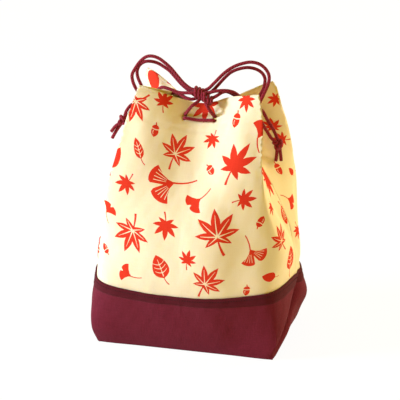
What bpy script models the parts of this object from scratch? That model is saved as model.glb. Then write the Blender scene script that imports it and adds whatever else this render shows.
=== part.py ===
"""Kinchaku drawstring pouch: two printed upper panels on a plain boxed base, drawn by two cords.

Metres, +Z up, +X to the right and -Y to the front. The origin is the middle of the flat bottom.
The cloth follows one smooth skin, laid through rows of points from the floor to the mouth.
"""
import bpy
import bmesh
import functools
import math
import numpy as np
from mathutils import Matrix, Vector

MM = 0.001

# Base cloth
BOTTOM_LENGTH = 0.178      # flat bottom, along X
BOTTOM_DEPTH = 0.108       # flat bottom, along Y
BELLY_LENGTH = 0.204       # the widest the standing bag gets, just under the base seam
BELLY_DEPTH = 0.123        # the deepest it gets
SEAM_HEIGHT = 0.061        # base seam, at the middle of the front
SEAM_RISE = 0.013          # how much higher the base seam is at the sides
SEAM_SLOPE = 0.035         # rise of the base seam per length, left to right
BASE_CLOTH = 0.0010        # two bonded layers
BAND_DEPTH = 0.010         # folded double band along the top of the base
BAND_PROUD = 0.0004        # how far the band stands off the base cloth

# Upper cloth
MOUTH_HEIGHT = 0.269       # top of the corner folds
PANEL_CLOTH = 0.0008
LAP = 0.011                # upper cloth hidden behind the band
HEM_DEPTH = 0.030          # cloth turned to the inside at the mouth
HEM_TURN = 0.003           # height of the turn at the top of the hem
HEM_GAP = 0.0005           # air between the turned cloth and the panel
CORD_DROP = 0.0215         # from the mouth down to the middle of the cords inside the hem
CORD_PITCH = 0.0042        # one cord above the other inside the hem
HOLE_SPACING = 0.029       # the two holes in the front, middle to middle
HOLE_LENGTH = 0.0070
HOLE_HEIGHT = 0.0090
HOLE_ROUNDING = 0.0020
SLIT_LENGTH = 0.012        # opening of each side seam, where the cords leave the hem
SLIT_HEIGHT = 0.0090
GAP = 0.0003               # clearance between pieces that touch

# Cords and knots
CORD = 0.0030              # diameter of the drawcords
CORD_STEP = 0.0070         # spacing of the points of a cord
TIGHT_STEP = 0.0016        # the same where a cord turns sharply through a hole
KNOT = 0.0110              # diameter of an end knot
BOW_LENGTH = 0.0150        # wrapped middle of the bow
BOW_SIZE = 0.0125          # front to back
BOW_HEIGHT = 0.0150

# Fineness of the cloth meshes
COLUMNS_PER_SPAN = 5

# The skin. Each row gives, in this order, its share of the way up and the places of its points.
# y: distance from the middle plane at the middle, quarter and corner fold of front and back.
# drop: how far the middle, the quarter and the side seam stand below the corner folds.
# front and back: x of the left and right corner folds. side: x of the left and right side seams.
# crisp: 1 makes the corners sharp, 0 leaves them round.
LOWER_ROWS = [
    dict(up=0.00, y=(0, 0, 0), front=(0, 0), side=(0, 0), crisp=0.95),
    dict(up=0.22, y=(3, 2.5, 0), front=(-6.5, 6), side=(-8.5, 9), crisp=0.45),
    dict(up=0.60, y=(6, 5, -3), front=(-5, 5), side=(-12.5, 12.5), crisp=0.10),
]
UPPER_ROWS = [
    dict(up=0.00, y=(61.5, 60, 50.5), drop=(0, 0, 0), middle=0, front=(-88, 89), back=(-88, 90),
         side=(-102, 102), crisp=0),
    dict(up=0.24, y=(61, 58, 41), drop=(3, 2, -2), middle=1, front=(-89, 94), back=(-90, 95),
         side=(-95, 99), crisp=0),
    dict(up=0.49, y=(55, 54, 45), drop=(5, 3, 2), middle=2, front=(-82, 81), back=(-88, 93),
         side=(-71, 79), crisp=0.4),
    dict(up=0.68, y=(45, 46, 41), drop=(12, 7, 5), middle=5, front=(-71, 76), back=(-75, 87),
         side=(-48, 60), crisp=0.85),
    dict(up=0.85, y=(28.5, 32, 31), drop=(10, 7, 9), middle=8, front=(-63, 74), back=(-64, 80),
         side=(-33, 47), crisp=1),
    dict(up=1.00, y=(4, 13.5, 22), drop=(22, 12, 12), middle=9, front=(-54, 69.5), back=(-56, 74),
         side=(-24, 42), crisp=1),
]


def smooth_through(knots, points, at):
    """Point at parameter `at` on the smooth open curve through points placed at `knots`."""
    last = len(knots) - 2
    span = min(max(int(np.searchsorted(knots, at, side="right")) - 1, 0), last)
    tangents = []
    for i in (span, span + 1):
        a, b = max(i - 1, 0), min(i + 1, last + 1)
        if 0 < i < last + 1:
            before = (points[i] - points[a]) / (knots[i] - knots[a])
            after = (points[b] - points[i]) / (knots[b] - knots[i])
            share = (knots[b] - knots[i]) / (knots[b] - knots[a])
            tangents.append(before * share + after * (1 - share))
        else:
            tangents.append((points[b] - points[a]) / (knots[b] - knots[a]))
    width = knots[span + 1] - knots[span]
    t = (at - knots[span]) / width
    return hermite(points[span], points[span + 1], tangents[0] * width, tangents[1] * width, t)


def hermite(start, end, start_tangent, end_tangent, t):
    return ((2 * t ** 3 - 3 * t ** 2 + 1) * start + (t ** 3 - 2 * t ** 2 + t) * start_tangent
            + (3 * t ** 2 - 2 * t ** 3) * end + (t ** 3 - t ** 2) * end_tangent)


def row_points(fold, front, back, side, middle_x, heights):
    """The twelve points of a row, from the middle of the front round by the right."""
    middle, quarter, corner = fold
    mid_z, quarter_z, corner_z, side_z = heights
    return np.array([
        (middle_x, -middle, mid_z),
        ((middle_x + front[1]) / 2, -quarter, quarter_z),
        (front[1], -corner, corner_z),
        (side[1], 0, side_z),
        (back[1], corner, corner_z),
        ((middle_x + back[1]) / 2, quarter, quarter_z),
        (middle_x, middle, mid_z),
        ((middle_x + back[0]) / 2, quarter, quarter_z),
        (back[0], corner, corner_z),
        (side[0], 0, side_z),
        (front[0], -corner, corner_z),
        ((middle_x + front[0]) / 2, -quarter, quarter_z),
    ])


def tilted(points):
    slope = SEAM_SLOPE * points[:, 0]
    points[:, 2] += slope
    return points


def skin_rows():
    """All rows of the skin, with the sharpness of the corners at each."""
    rows = []
    crisp = []
    half_length, half_depth = BOTTOM_LENGTH / 2, BOTTOM_DEPTH / 2
    for row in LOWER_ROWS:
        fold = [half_depth + d * MM for d in row["y"]]
        corners = (row["front"][0] * MM - half_length, row["front"][1] * MM + half_length)
        sides = (row["side"][0] * MM - half_length, row["side"][1] * MM + half_length)
        z = SEAM_HEIGHT * row["up"]
        side_z = z + SEAM_RISE * row["up"] / 2
        rows.append(row_points(fold, corners, corners, sides, 0, (z, z, (z + side_z) / 2, side_z)))
        crisp.append(row["crisp"])
    rise = MOUTH_HEIGHT - SEAM_HEIGHT
    wide = BELLY_LENGTH / 2 / (UPPER_ROWS[0]["side"][1] * MM)
    deep = BELLY_DEPTH / 2 / (UPPER_ROWS[0]["y"][0] * MM)
    for row in UPPER_ROWS:
        up = row["up"]
        fold = [y * MM * (deep + (1 - deep) * up) for y in row["y"]]
        spread = MM * (wide + (1 - wide) * up)
        corners = [[x * spread for x in row[name]] for name in ("front", "back", "side")]
        top = SEAM_HEIGHT + rise * up
        middle_z, quarter_z, side_z = [top - drop * MM for drop in row["drop"]]
        if up == 0:
            heights = (top, top + SEAM_RISE * 0.15, top + SEAM_RISE * 0.7, top + SEAM_RISE)
            points = tilted(row_points(fold, *corners, 0, heights))
        else:
            heights = (middle_z, quarter_z, top, side_z)
            points = row_points(fold, *corners, row["middle"] * MM, heights)
        rows.append(points)
        crisp.append(row["crisp"])
    return np.array(rows), np.array(crisp)


ROWS, CRISP = skin_rows()
STEPS = [np.linalg.norm(ROWS[i + 1] - ROWS[i], axis=1).mean() for i in range(len(ROWS) - 1)]
UP = np.concatenate([[0.0], np.cumsum(STEPS)])     # length of cloth from the floor to each row
SEAM_UP = float(UP[len(LOWER_ROWS)])
MOUTH_UP = float(UP[-1])
HEM_UP = MOUTH_UP - HEM_DEPTH
CORDS_UP = MOUTH_UP - CORD_DROP
CORNER_KEYS = (2, 4, 8, 10)


@functools.lru_cache(maxsize=None)
def row_at(up):
    """The twelve points of the skin at a height along the cloth."""
    return np.array([smooth_through(UP, ROWS[:, i], up) for i in range(ROWS.shape[1])])


@functools.lru_cache(maxsize=None)
def skin_point(around, up):
    """Point of the skin. `around` counts the points of a row, `up` is cloth length in metres."""
    row = row_at(up)
    count = len(row)
    first = int(math.floor(around))
    t = around - first
    near = [row[(first + i) % count] for i in (-1, 0, 1, 2)]
    crisp = float(np.interp(up, UP, CRISP))
    chords = [np.linalg.norm(near[i + 1] - near[i]) for i in range(3)]
    tangents = []
    for i in (1, 2):
        before = (near[i] - near[i - 1]) / chords[i - 1]
        after = (near[i + 1] - near[i]) / chords[i]
        share = chords[i] / (chords[i - 1] + chords[i])
        even = before * share + after * (1 - share)
        if (first + i - 1) % count in CORNER_KEYS:
            straight = (near[2] - near[1]) / chords[1]
            even = even * (1 - crisp) + straight * crisp
        tangents.append(even * chords[1])
    return hermite(near[1], near[2], tangents[0], tangents[1], t)


def offset_point(around, up, depth):
    """Point `depth` inside the skin, measured square to it."""
    here = skin_point(around, up)
    if depth == 0:
        return here
    step = 1e-3
    rise = 1e-4
    below = skin_point(around, max(up - rise, 0))
    above = skin_point(around, min(up + rise, MOUTH_UP))
    side = skin_point(around + step, up) - skin_point(around - step, up)
    inward = np.cross(above - below, side)
    return here + depth * inward / np.linalg.norm(inward)


def crossing(first, second):
    """Where two outlines first cross, seen from above, as positions along each."""
    for i in range(len(first) - 1):
        a, b = first[i][:2], first[i + 1][:2]
        for j in range(len(second) - 1):
            c, d = second[j][:2], second[j + 1][:2]
            turn = (b[0] - a[0]) * (d[1] - c[1]) - (b[1] - a[1]) * (d[0] - c[0])
            if turn == 0:
                continue
            t = ((c[0] - a[0]) * (d[1] - c[1]) - (c[1] - a[1]) * (d[0] - c[0])) / turn
            u = ((c[0] - a[0]) * (b[1] - a[1]) - (c[1] - a[1]) * (b[0] - a[0])) / turn
            if 0 <= t <= 1 and 0 <= u <= 1:
                return i + t, j + u
    return None


@functools.lru_cache(maxsize=None)
def corner_cut(corner, up, depth):
    """How much of each side of a corner fold is left out, so that an inner layer turns sharp."""
    if depth <= 0:
        return 0.0, 0.0
    reach = np.linspace(0.8, 0.004, 20)
    before = [offset_point(corner - r, up, depth) for r in reach]
    after = [offset_point(corner + r, up, depth) for r in reach]
    meet = crossing(before, after)
    if meet is None:
        return 0.0, 0.0
    steps = np.arange(len(reach))
    return float(np.interp(meet[0], steps, reach)), float(np.interp(meet[1], steps, reach))


def on_cloth(around, up, depth, fold_depth=None):
    """Point of a layer that lies `depth` inside the skin, with its corner folds kept clear.

    Two faces of one layer share the `fold_depth` of the deeper one, so that they turn together.
    """
    around = around % 12
    for corner in CORNER_KEYS:
        if abs(around - corner) <= 1:
            before, after = corner_cut(corner, up, depth if fold_depth is None else fold_depth)
            if before == 0:
                break
            first = corner - 1 + (around - corner + 1) * (1 - before)
            second = corner + 1 - (corner + 1 - around) * (1 - after)
            if around == corner:
                return (offset_point(first, up, depth) + offset_point(second, up, depth)) / 2
            return offset_point(first if around < corner else second, up, depth)
    return offset_point(around, up, depth)


def around_shift(around, up, length):
    """Change in `around` that moves a point by `length` along the row."""
    step = 1e-2
    return length * 2 * step / np.linalg.norm(
        skin_point(around + step, up) - skin_point(around - step, up))


def material(name, colour, roughness):
    made = bpy.data.materials.new(name)
    made.use_nodes = True
    shader = made.node_tree.nodes["Principled BSDF"]
    shader.inputs["Base Color"].default_value = (*colour, 1)
    shader.inputs["Roughness"].default_value = roughness
    shader.inputs["Metallic"].default_value = 0.0
    return made


def add_object(name, bm, finish, smooth=True):
    bmesh.ops.recalc_face_normals(bm, faces=bm.faces)
    mesh = bpy.data.meshes.new(name)
    bm.to_mesh(mesh)
    bm.free()
    mesh.materials.append(finish)
    if smooth:
        mesh.shade_smooth()
        mesh.set_sharp_from_angle(angle=math.radians(50))
    made = bpy.data.objects.new(name, mesh)
    bpy.context.scene.collection.objects.link(made)
    return made


def loft(rings, wrap_rings, wrap_columns):
    """Quads between rings of points that have the same count."""
    bm = bmesh.new()
    grid = [[bm.verts.new(point) for point in ring] for ring in rings]
    ring_count = len(grid) if wrap_rings else len(grid) - 1
    width = len(grid[0])
    columns = width if wrap_columns else width - 1
    for i in range(ring_count):
        for j in range(columns):
            a, b = grid[i], grid[(i + 1) % len(grid)]
            k = (j + 1) % width
            bm.faces.new((a[j], a[k], b[k], b[j]))
    return bm, grid


def build_base(finish):
    """Boxed base: flat bottom, walls up to the base seam and the folded band."""
    stations = np.arange(0, 12, 1 / COLUMNS_PER_SPAN)
    band_up = SEAM_UP - BAND_DEPTH
    lap_up = SEAM_UP - LAP
    heights = [0.0, 0.004, *np.linspace(0.012, lap_up, 4)]
    profile = [(up, 0.0) for up in heights]
    profile += [(band_up, 0.0), (band_up + BAND_PROUD, -BAND_PROUD), (SEAM_UP, -BAND_PROUD)]
    profile += [(SEAM_UP, BASE_CLOTH), (band_up, BASE_CLOTH)]
    profile += [(up, BASE_CLOTH) for up in reversed(heights[1:])]
    rings = [[on_cloth(s, up, depth) for s in stations] for up, depth in profile]
    floor = []
    for s in stations:
        point = on_cloth(s, BASE_CLOTH, BASE_CLOTH)
        floor.append((point[0], point[1], BASE_CLOTH))
    rings.append(floor)
    bm, grid = loft(rings, False, True)
    bm.faces.new(grid[0])
    bm.faces.new(grid[-1])
    return add_object("base", bm, finish)


def hem_profile():
    """Outline of the upper cloth across its thickness: cloth length up, depth, depth of its folds."""
    outer = BASE_CLOTH + GAP
    inner = outer + PANEL_CLOTH
    hem_near = inner + HEM_GAP
    hem_far = hem_near + PANEL_CLOTH
    lap_up = SEAM_UP - LAP
    turn_up = MOUTH_UP - HEM_TURN
    hem = list(np.linspace(HEM_UP, turn_up, 5))
    rows = [lap_up, *np.linspace(SEAM_UP, HEM_UP, 10)[:-1], *hem]
    outside = [(up, outer, inner) for up in rows]
    fold = [(MOUTH_UP, (outer + inner) / 2, hem_far), (MOUTH_UP, (hem_near + hem_far) / 2, hem_far)]
    hem_down = [(up, hem_far, hem_far) for up in reversed(hem)]
    hem_up = [(up, hem_near, hem_far) for up in hem]
    hem_up.append((turn_up + HEM_TURN / 2, (hem_near + inner) / 2, hem_far))
    inside = [(up, inner, inner) for up in reversed(rows)]
    return outside + fold + hem_down + hem_up + inside


def cord_up(level):
    """Cloth length up to the middle of the lower (0) or the upper (1) cord inside the hem."""
    return CORDS_UP + (level - 0.5) * CORD_PITCH


def build_panel(name, first_seam, finish):
    """One upper panel, from side seam to side seam, with its hem turned to the inside."""
    spans = 6
    count = spans * COLUMNS_PER_SPAN
    rings = []
    for up, depth, fold_depth in hem_profile():
        ring = []
        for i in range(count + 1):
            s = first_seam + i / COLUMNS_PER_SPAN
            if i == 0:
                s += around_shift(s, up, GAP * 0.7)
            if i == count:
                s -= around_shift(s, up, GAP * 0.7)
            ring.append(on_cloth(s, up, depth, fold_depth))
        rings.append(ring)
    bm, grid = loft(rings, True, False)
    bm.faces.new([ring[0] for ring in grid])
    bm.faces.new([ring[-1] for ring in grid])
    return add_object(name, bm, finish)


def cut(target, name, size, rounding, centre, turn):
    """Round-cornered cutter, subtracted from a panel."""
    bm = bmesh.new()
    bmesh.ops.create_cube(bm, size=1)
    bmesh.ops.scale(bm, vec=size, verts=bm.verts)
    along = [e for e in bm.edges if abs(e.verts[0].co.y - e.verts[1].co.y) > size[1] / 2]
    bmesh.ops.bevel(bm, geom=along, offset=rounding, offset_type="OFFSET", segments=3,
                    affect="EDGES", profile=0.5, material=-1, clamp_overlap=True)
    bmesh.ops.rotate(bm, matrix=turn, verts=bm.verts)
    bmesh.ops.translate(bm, vec=centre, verts=bm.verts)
    mesh = bpy.data.meshes.new(name)
    bm.to_mesh(mesh)
    bm.free()
    cutter = bpy.data.objects.new(name, mesh)
    bpy.context.scene.collection.objects.link(cutter)
    cutter.hide_render = True
    cutter.display_type = "WIRE"
    modifier = target.modifiers.new(name, "BOOLEAN")
    modifier.operation = "DIFFERENCE"
    modifier.solver = "EXACT"
    modifier.object = cutter


def frame_at(around, up):
    """Turn that lays X along the row, Y inwards and Z up the cloth."""
    side = Vector(skin_point(around + 1e-2, up) - skin_point(around - 1e-2, up)).normalized()
    inward = Vector(on_cloth(around, up, CORD) - on_cloth(around, up, 0)).normalized()
    rise = side.cross(inward)
    return Matrix((side, inward, rise)).transposed()


def cut_openings(front, back):
    """Two holes in the front of the hem, and the open side seams."""
    outer = BASE_CLOTH + GAP
    reach = outer + PANEL_CLOTH + HEM_GAP / 2
    hole_shift = around_shift(0, CORDS_UP, HOLE_SPACING / 2)
    for side, s in (("left", -hole_shift), ("right", hole_shift)):
        size = (HOLE_LENGTH, HOLE_LENGTH, HOLE_HEIGHT)
        cut(front, "hole_" + side, size, HOLE_ROUNDING, on_cloth(s, CORDS_UP, reach - size[1] / 2),
            frame_at(s, CORDS_UP))
    for side, s in (("right", 3), ("left", 9)):
        size = (SLIT_LENGTH, SLIT_LENGTH, SLIT_HEIGHT)
        for panel in (front, back):
            cut(panel, "slit_" + side, size, HOLE_ROUNDING,
                on_cloth(s, CORDS_UP, reach - size[1] / 2), frame_at(s, CORDS_UP))


def smooth_route(points, step):
    """Evenly spaced points on the smooth curve through a route."""
    points = [np.asarray(p, float) for p in points]
    knots = [0.0]
    for a, b in zip(points, points[1:]):
        knots.append(knots[-1] + math.sqrt(np.linalg.norm(b - a)))
    fine = [smooth_through(knots, points, t) for t in np.linspace(0, knots[-1], 24 * len(points))]
    walked = np.concatenate([[0], np.cumsum([np.linalg.norm(b - a) for a, b in zip(fine, fine[1:])])])
    count = max(3, int(round(walked[-1] / step)))
    return [np.array([np.interp(w, walked, [p[k] for p in fine]) for k in range(3)])
            for w in np.linspace(0, walked[-1], count + 1)]


def build_cord(name, route, step, finish):
    curve = bpy.data.curves.new(name, "CURVE")
    curve.dimensions = "3D"
    curve.bevel_depth = CORD / 2
    curve.bevel_resolution = 2
    curve.use_fill_caps = True
    points = smooth_route(route, step)
    spline = curve.splines.new("POLY")
    spline.points.add(len(points) - 1)
    for point, place in zip(spline.points, points):
        point.co = (*place, 1)
    curve.materials.append(finish)
    made = bpy.data.objects.new(name, curve)
    bpy.context.scene.collection.objects.link(made)
    return made


def mm(*points):
    return [np.array(p) * MM for p in points]


def out_of_hem(around, level, facing, start, reach):
    """First route points of a cord that comes out between the two layers of the hem."""
    up = cord_up(level)
    outward = offset_point(facing, up, 0) - offset_point(facing, up, CORD)
    outward /= np.linalg.norm(outward)
    first = on_cloth(around, up, start)
    return [first, first + outward * reach / 2, first + outward * reach]


def out_of_slit(seam, toward, level):
    """Out of an open side seam. `toward` leads from the seam into the panel."""
    around = seam + toward * around_shift(seam, CORDS_UP, SLIT_LENGTH / 4)
    return out_of_hem(around, level, seam, BASE_CLOTH + GAP, SLIT_LENGTH * 0.6)


def out_of_hole(side, level):
    """Out of the left (-1) or right (1) hole in the front."""
    around = side * around_shift(0, CORDS_UP, HOLE_SPACING / 2 + HOLE_LENGTH / 12)
    start = BASE_CLOTH + PANEL_CLOTH + HEM_GAP
    return out_of_hem(around, level, around, start, CORD * 1.1)


def at_knot(centre, direction, size):
    """Where a cord meets a round knot that it comes to from `direction`."""
    direction = np.array(direction, float)
    return np.array(centre) + direction / np.linalg.norm(direction) * (size / 2 + GAP * 1.6)


def build_knot(name, centre, size, finish):
    bm = bmesh.new()
    bmesh.ops.create_uvsphere(bm, u_segments=14, v_segments=9, radius=0.5)
    bmesh.ops.scale(bm, vec=size, verts=bm.verts)
    bmesh.ops.translate(bm, vec=centre, verts=bm.verts)
    return add_object(name, bm, finish)


def build_bow_wrap(name, finish):
    """Flat-ended barrel: the cords wrapped round the middle of the bow."""
    bm = bmesh.new()
    bmesh.ops.create_cone(bm, cap_ends=True, segments=16, radius1=0.5, radius2=0.5, depth=1)
    bmesh.ops.rotate(bm, matrix=Matrix.Rotation(math.radians(90), 3, "Y"), verts=bm.verts)
    bmesh.ops.scale(bm, vec=(BOW_LENGTH, BOW_SIZE, BOW_HEIGHT), verts=bm.verts)
    bmesh.ops.translate(bm, vec=BOW_PLACE, verts=bm.verts)
    return add_object(name, bm, finish)


# Places of the knots
RIGHT_KNOT = np.array((78.8, 16.0, 203.0)) * MM
LEFT_KNOT = np.array((-70.5, -23.0, 226.0)) * MM
BOW_PLACE = np.array((10.0, -10.4, 258.2)) * MM


def to_bow(side, y, z):
    """Last two route points of a cord that meets the left (-1) or right (1) end of the wrap."""
    face = BOW_PLACE[0] + side * (BOW_LENGTH / 2 + 2 * GAP)
    lead = side * CORD * 1.6
    return [np.array((face + lead, y * MM, z * MM)), np.array((face, y * MM, z * MM))]


# Handles, from a side seam up and over to the bow
LEFT_HANDLE_OUTER = mm(
    (-49, -3, 243), (-56, -6, 252), (-60.5, -8, 260), (-63.6, -6, 266.5), (-64.4, -4, 271.1),
    (-61.7, -2, 277.2), (-56.3, 0, 285), (-50.4, 0, 289.7), (-45.2, 0, 290.6), (-38.7, 0, 289.1),
    (-32.1, -1, 285.4), (-25.4, -2, 280.3), (-18.4, -4, 273.6), (-11.4, -6.5, 267.5),
    (-4.5, -8.5, 263.6))
LEFT_HANDLE_INNER = mm(
    (-48, 2, 244), (-54, 2, 253), (-57.5, 1, 261), (-60.6, 3, 266.5), (-61.7, 5, 272.1),
    (-59.4, 6, 278), (-54.4, 6, 281.9), (-48.5, 6, 282.9), (-41.4, 6, 281.8), (-33.4, 5, 278.2),
    (-28, 4, 275), (-22.3, 2, 270.2), (-15.1, -1, 264.4), (-7.9, -4.5, 260.5),
    (-3, -6.8, 258.4))
RIGHT_HANDLE_OUTER = mm(
    (61, -4, 247), (66, -2, 257), (69.5, -1, 265), (71.7, 0, 271), (72.6, 1, 276.5),
    (71.7, 2, 281.2), (68.1, 2, 286.8), (61.8, 2, 290.9), (54.3, 1, 292.3), (47, 0, 290.9),
    (38.4, -2, 287.6), (31.8, -4, 281.9), (27.5, -6, 275.5), (24.3, -8, 269.5))
RIGHT_HANDLE_INNER = mm(
    (58, 4, 248), (62, 6, 256), (65.3, 7, 263), (66.8, 7, 268.8), (67, 7, 274.8),
    (64.2, 7, 279.8), (58.2, 7, 283.3), (50.3, 6, 284.7), (41, 4, 282.6), (34.2, 2, 278.6),
    (30, -0.5, 272), (27, -3.5, 265), (24.3, -6.5, 260.2))

# Legs, from a side seam down to an end knot
RIGHT_LEG_FRONT = mm((59.5, -1, 234.5), (64, 4, 230), (68, 9, 220.5), (72.5, 12, 211.5))
RIGHT_LEG_BACK = mm((58.5, 6, 239.5), (63, 9, 240.5), (69, 12.5, 229), (74.5, 15.5, 218))
LEFT_LEG_FRONT = mm((-48, -9.5, 238.5), (-55.5, -15, 244), (-62, -18, 243.5), (-67, -22, 236.5))
LEFT_LEG_BACK = mm((-45, 7, 238.5), (-53, 4, 235), (-61, -6, 233), (-66, -15, 230.5))

# Ends of the two handles, from the bow across the mouth and back to it
LEFT_LOOP = mm(
    (-5, -12.2, 260), (-15.3, -10.5, 259), (-24.5, -9.5, 261.2), (-32, -7.5, 262.8),
    (-38, -4.5, 262), (-41.8, -1, 260), (-41.5, 2.2, 258), (-37, 2.8, 258), (-31, 2, 259.4),
    (-25, 0.6, 260.4), (-19.5, -2.5, 259.4), (-14, -7, 256.6), (-8, -11.5, 254.6),
    (-4, -12.6, 254))
RIGHT_LOOP = mm(
    (24, -12, 264), (33, -9.8, 264.2), (41, -8, 263.8), (47, -6, 263.2), (51.5, -3, 262),
    (53.2, 0.5, 260.8), (51, 3, 260), (47, 2.4, 260.4), (41.5, 0, 261), (36, -4.5, 261),
    (30, -9.5, 260), (24, -12.6, 257.5))

# Front bight, pulled up from the two front holes to the bow
LEFT_DIAGONAL = mm((0, -22.5, 243.8), (3.5, -18.8, 248), (6, -16.6, 250.4))
RIGHT_DIAGONAL = mm((18.5, -23, 243.8), (15, -19, 247.6), (12.8, -16.8, 250.2))

# Tails below the end knots
RIGHT_TAILS = (mm((77.5, 18, 193), (76.5, 18.5, 184.5)), mm((80.8, 19.5, 193), (81.5, 20.5, 184.5)))
LEFT_TAILS = (mm((-78, -24.5, 219.5), (-82, -25.5, 214)), mm((-77.5, -22, 214.5), (-82, -22, 206)))


def cord_routes():
    """Every free stretch of the two cords, with the points that it follows."""
    outside = CORD / 2 + 2 * GAP - BASE_CLOTH
    hole = around_shift(0, CORDS_UP, HOLE_SPACING / 2)
    across = [on_cloth(s * hole, cord_up(0), -outside) for s in (0.62, 0.31, 0, -0.31, -0.62)]
    routes = {
        "left_handle_outer": out_of_slit(-3, 1, 1) + LEFT_HANDLE_OUTER + to_bow(-1, -9.0, 262.9),
        "left_handle_inner": out_of_slit(9, -1, 1) + LEFT_HANDLE_INNER + to_bow(-1, -7.6, 258.2),
        "right_handle_outer": out_of_slit(3, -1, 1) + RIGHT_HANDLE_OUTER + to_bow(1, -9.0, 263.2),
        "right_handle_inner": out_of_slit(3, 1, 1) + RIGHT_HANDLE_INNER + to_bow(1, -7.6, 258.2),
        "left_loop": to_bow(-1, -13.0, 260.4)[::-1] + LEFT_LOOP + to_bow(-1, -12.5, 253.8),
        "right_loop": to_bow(1, -13.0, 261.0)[::-1] + RIGHT_LOOP + to_bow(1, -12.5, 254.6),
        "front_run": out_of_hole(1, 0) + across + out_of_hole(-1, 0)[::-1],
        "front_bight_left": out_of_hole(-1, 1) + LEFT_DIAGONAL,
        "front_bight_right": out_of_hole(1, 1) + RIGHT_DIAGONAL,
        "right_leg_front": out_of_slit(3, -1, 0) + RIGHT_LEG_FRONT
        + [at_knot(RIGHT_KNOT, (-6, -4.5, 8), KNOT)],
        "right_leg_back": out_of_slit(3, 1, 0) + RIGHT_LEG_BACK
        + [at_knot(RIGHT_KNOT, (-3, -0.5, 9), KNOT)],
        "left_leg_front": out_of_slit(-3, 1, 0) + LEFT_LEG_FRONT
        + [at_knot(LEFT_KNOT, (2.6, 0.7, 9.5), KNOT)],
        "left_leg_back": out_of_slit(9, -1, 0) + LEFT_LEG_BACK
        + [at_knot(LEFT_KNOT, (6, 7, 4), KNOT)],
    }
    for side, knot, tails, aims in (
            ("right", RIGHT_KNOT, RIGHT_TAILS, ((-2.2, 1.5, -9), (2.4, 2.5, -9))),
            ("left", LEFT_KNOT, LEFT_TAILS, ((-8, -2, -6), (-4, 3, -9)))):
        for letter, tail, aim in zip("ab", tails, aims):
            routes[side + "_tail_" + letter] = [at_knot(knot, aim, KNOT)] + tail
    return routes


def build():
    for thing in list(bpy.data.objects):
        bpy.data.objects.remove(thing, do_unlink=True)
    base_cloth = material("plain_base_cloth", (0.25, 0.028, 0.045), 0.85)
    printed_cloth = material("printed_cloth", (0.9, 0.8, 0.55), 0.8)
    cord_braid = material("cord_braid", (0.17, 0.012, 0.03), 0.6)
    build_base(base_cloth)
    front = build_panel("upper_front", -3, printed_cloth)
    back = build_panel("upper_back", 3, printed_cloth)
    cut_openings(front, back)
    for name, route in cord_routes().items():
        step = TIGHT_STEP if name.startswith("front") else CORD_STEP
        build_cord(name, route, step, cord_braid)
    build_knot("right_knot", RIGHT_KNOT, (KNOT, KNOT, KNOT), cord_braid)
    build_knot("left_knot", LEFT_KNOT, (KNOT, KNOT, KNOT), cord_braid)
    build_bow_wrap("bow_wrap", cord_braid)


build()
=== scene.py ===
import math

import bmesh
import bpy
import numpy as np
from mathutils import Matrix, Vector
from mathutils.geometry import delaunay_2d_cdt


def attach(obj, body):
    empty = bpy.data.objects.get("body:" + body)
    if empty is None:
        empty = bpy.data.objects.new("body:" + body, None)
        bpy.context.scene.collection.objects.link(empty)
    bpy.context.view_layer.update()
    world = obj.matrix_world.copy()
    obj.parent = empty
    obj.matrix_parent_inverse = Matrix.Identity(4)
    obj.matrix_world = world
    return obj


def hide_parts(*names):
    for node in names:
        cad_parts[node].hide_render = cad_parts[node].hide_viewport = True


# Kinchaku drawstring pouch: printed upper cloth on a plain boxed base, drawn by two braided cords.
# Metres, +Z up, -Y to the front. Cloth places are given as "around" (0 at the middle of the front,
# 3 at the right side seam, 6 at the back, 9 at the left side seam) and "up" (length up the cloth).

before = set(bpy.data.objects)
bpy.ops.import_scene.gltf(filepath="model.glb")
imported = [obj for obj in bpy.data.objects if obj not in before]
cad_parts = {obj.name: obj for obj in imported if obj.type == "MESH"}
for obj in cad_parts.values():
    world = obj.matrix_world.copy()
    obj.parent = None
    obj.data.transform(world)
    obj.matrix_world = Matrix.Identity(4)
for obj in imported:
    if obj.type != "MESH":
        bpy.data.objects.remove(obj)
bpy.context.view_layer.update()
mm = 0.001
print("frame loaded")

# Camera, floor and light

view = {
    "target": (3.44, 0.0, 142.5),   # mm
    "azimuth": 13.84,               # degrees round to the right
    "elevation": 22.5,
    "distance": 2.5,                # metres
    "lens": 225.0,                  # mm, on a 36 mm sensor
    "picture": 400,                 # pixels each way
}


def viewAxes():
    a = math.radians(view["azimuth"])
    e = math.radians(view["elevation"])
    back = np.array((math.sin(a) * math.cos(e), -math.cos(a) * math.cos(e), math.sin(e)))
    right = np.array((math.cos(a), math.sin(a), 0.0))
    return right, np.cross(back, right), back


def inPicture(points):
    # pixels from the top left corner, and the distance in front of the camera
    right, up, back = viewAxes()
    target = np.array(view["target"]) * mm
    offset = points - (target + back * view["distance"])
    depth = -(offset @ back)
    perMetre = view["lens"] / 36 * view["picture"]
    half = view["picture"] / 2
    across = half + offset @ right / depth * perMetre
    down = half - offset @ up / depth * perMetre
    return np.stack((across, down), -1), depth


def makeCamera():
    camera = bpy.data.objects.new("camera", bpy.data.cameras.new("camera"))
    bpy.context.scene.collection.objects.link(camera)
    back = Vector(viewAxes()[2])
    camera.location = Vector(view["target"]) * mm + back * view["distance"]
    camera.rotation_mode = "QUATERNION"
    camera.rotation_quaternion = (-back).to_track_quat("-Z", "Y")
    camera.data.sensor_width = 36.0
    camera.data.lens = view["lens"]
    camera.data.clip_start = 0.05
    camera.data.clip_end = 30
    bpy.context.scene.camera = camera


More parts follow.
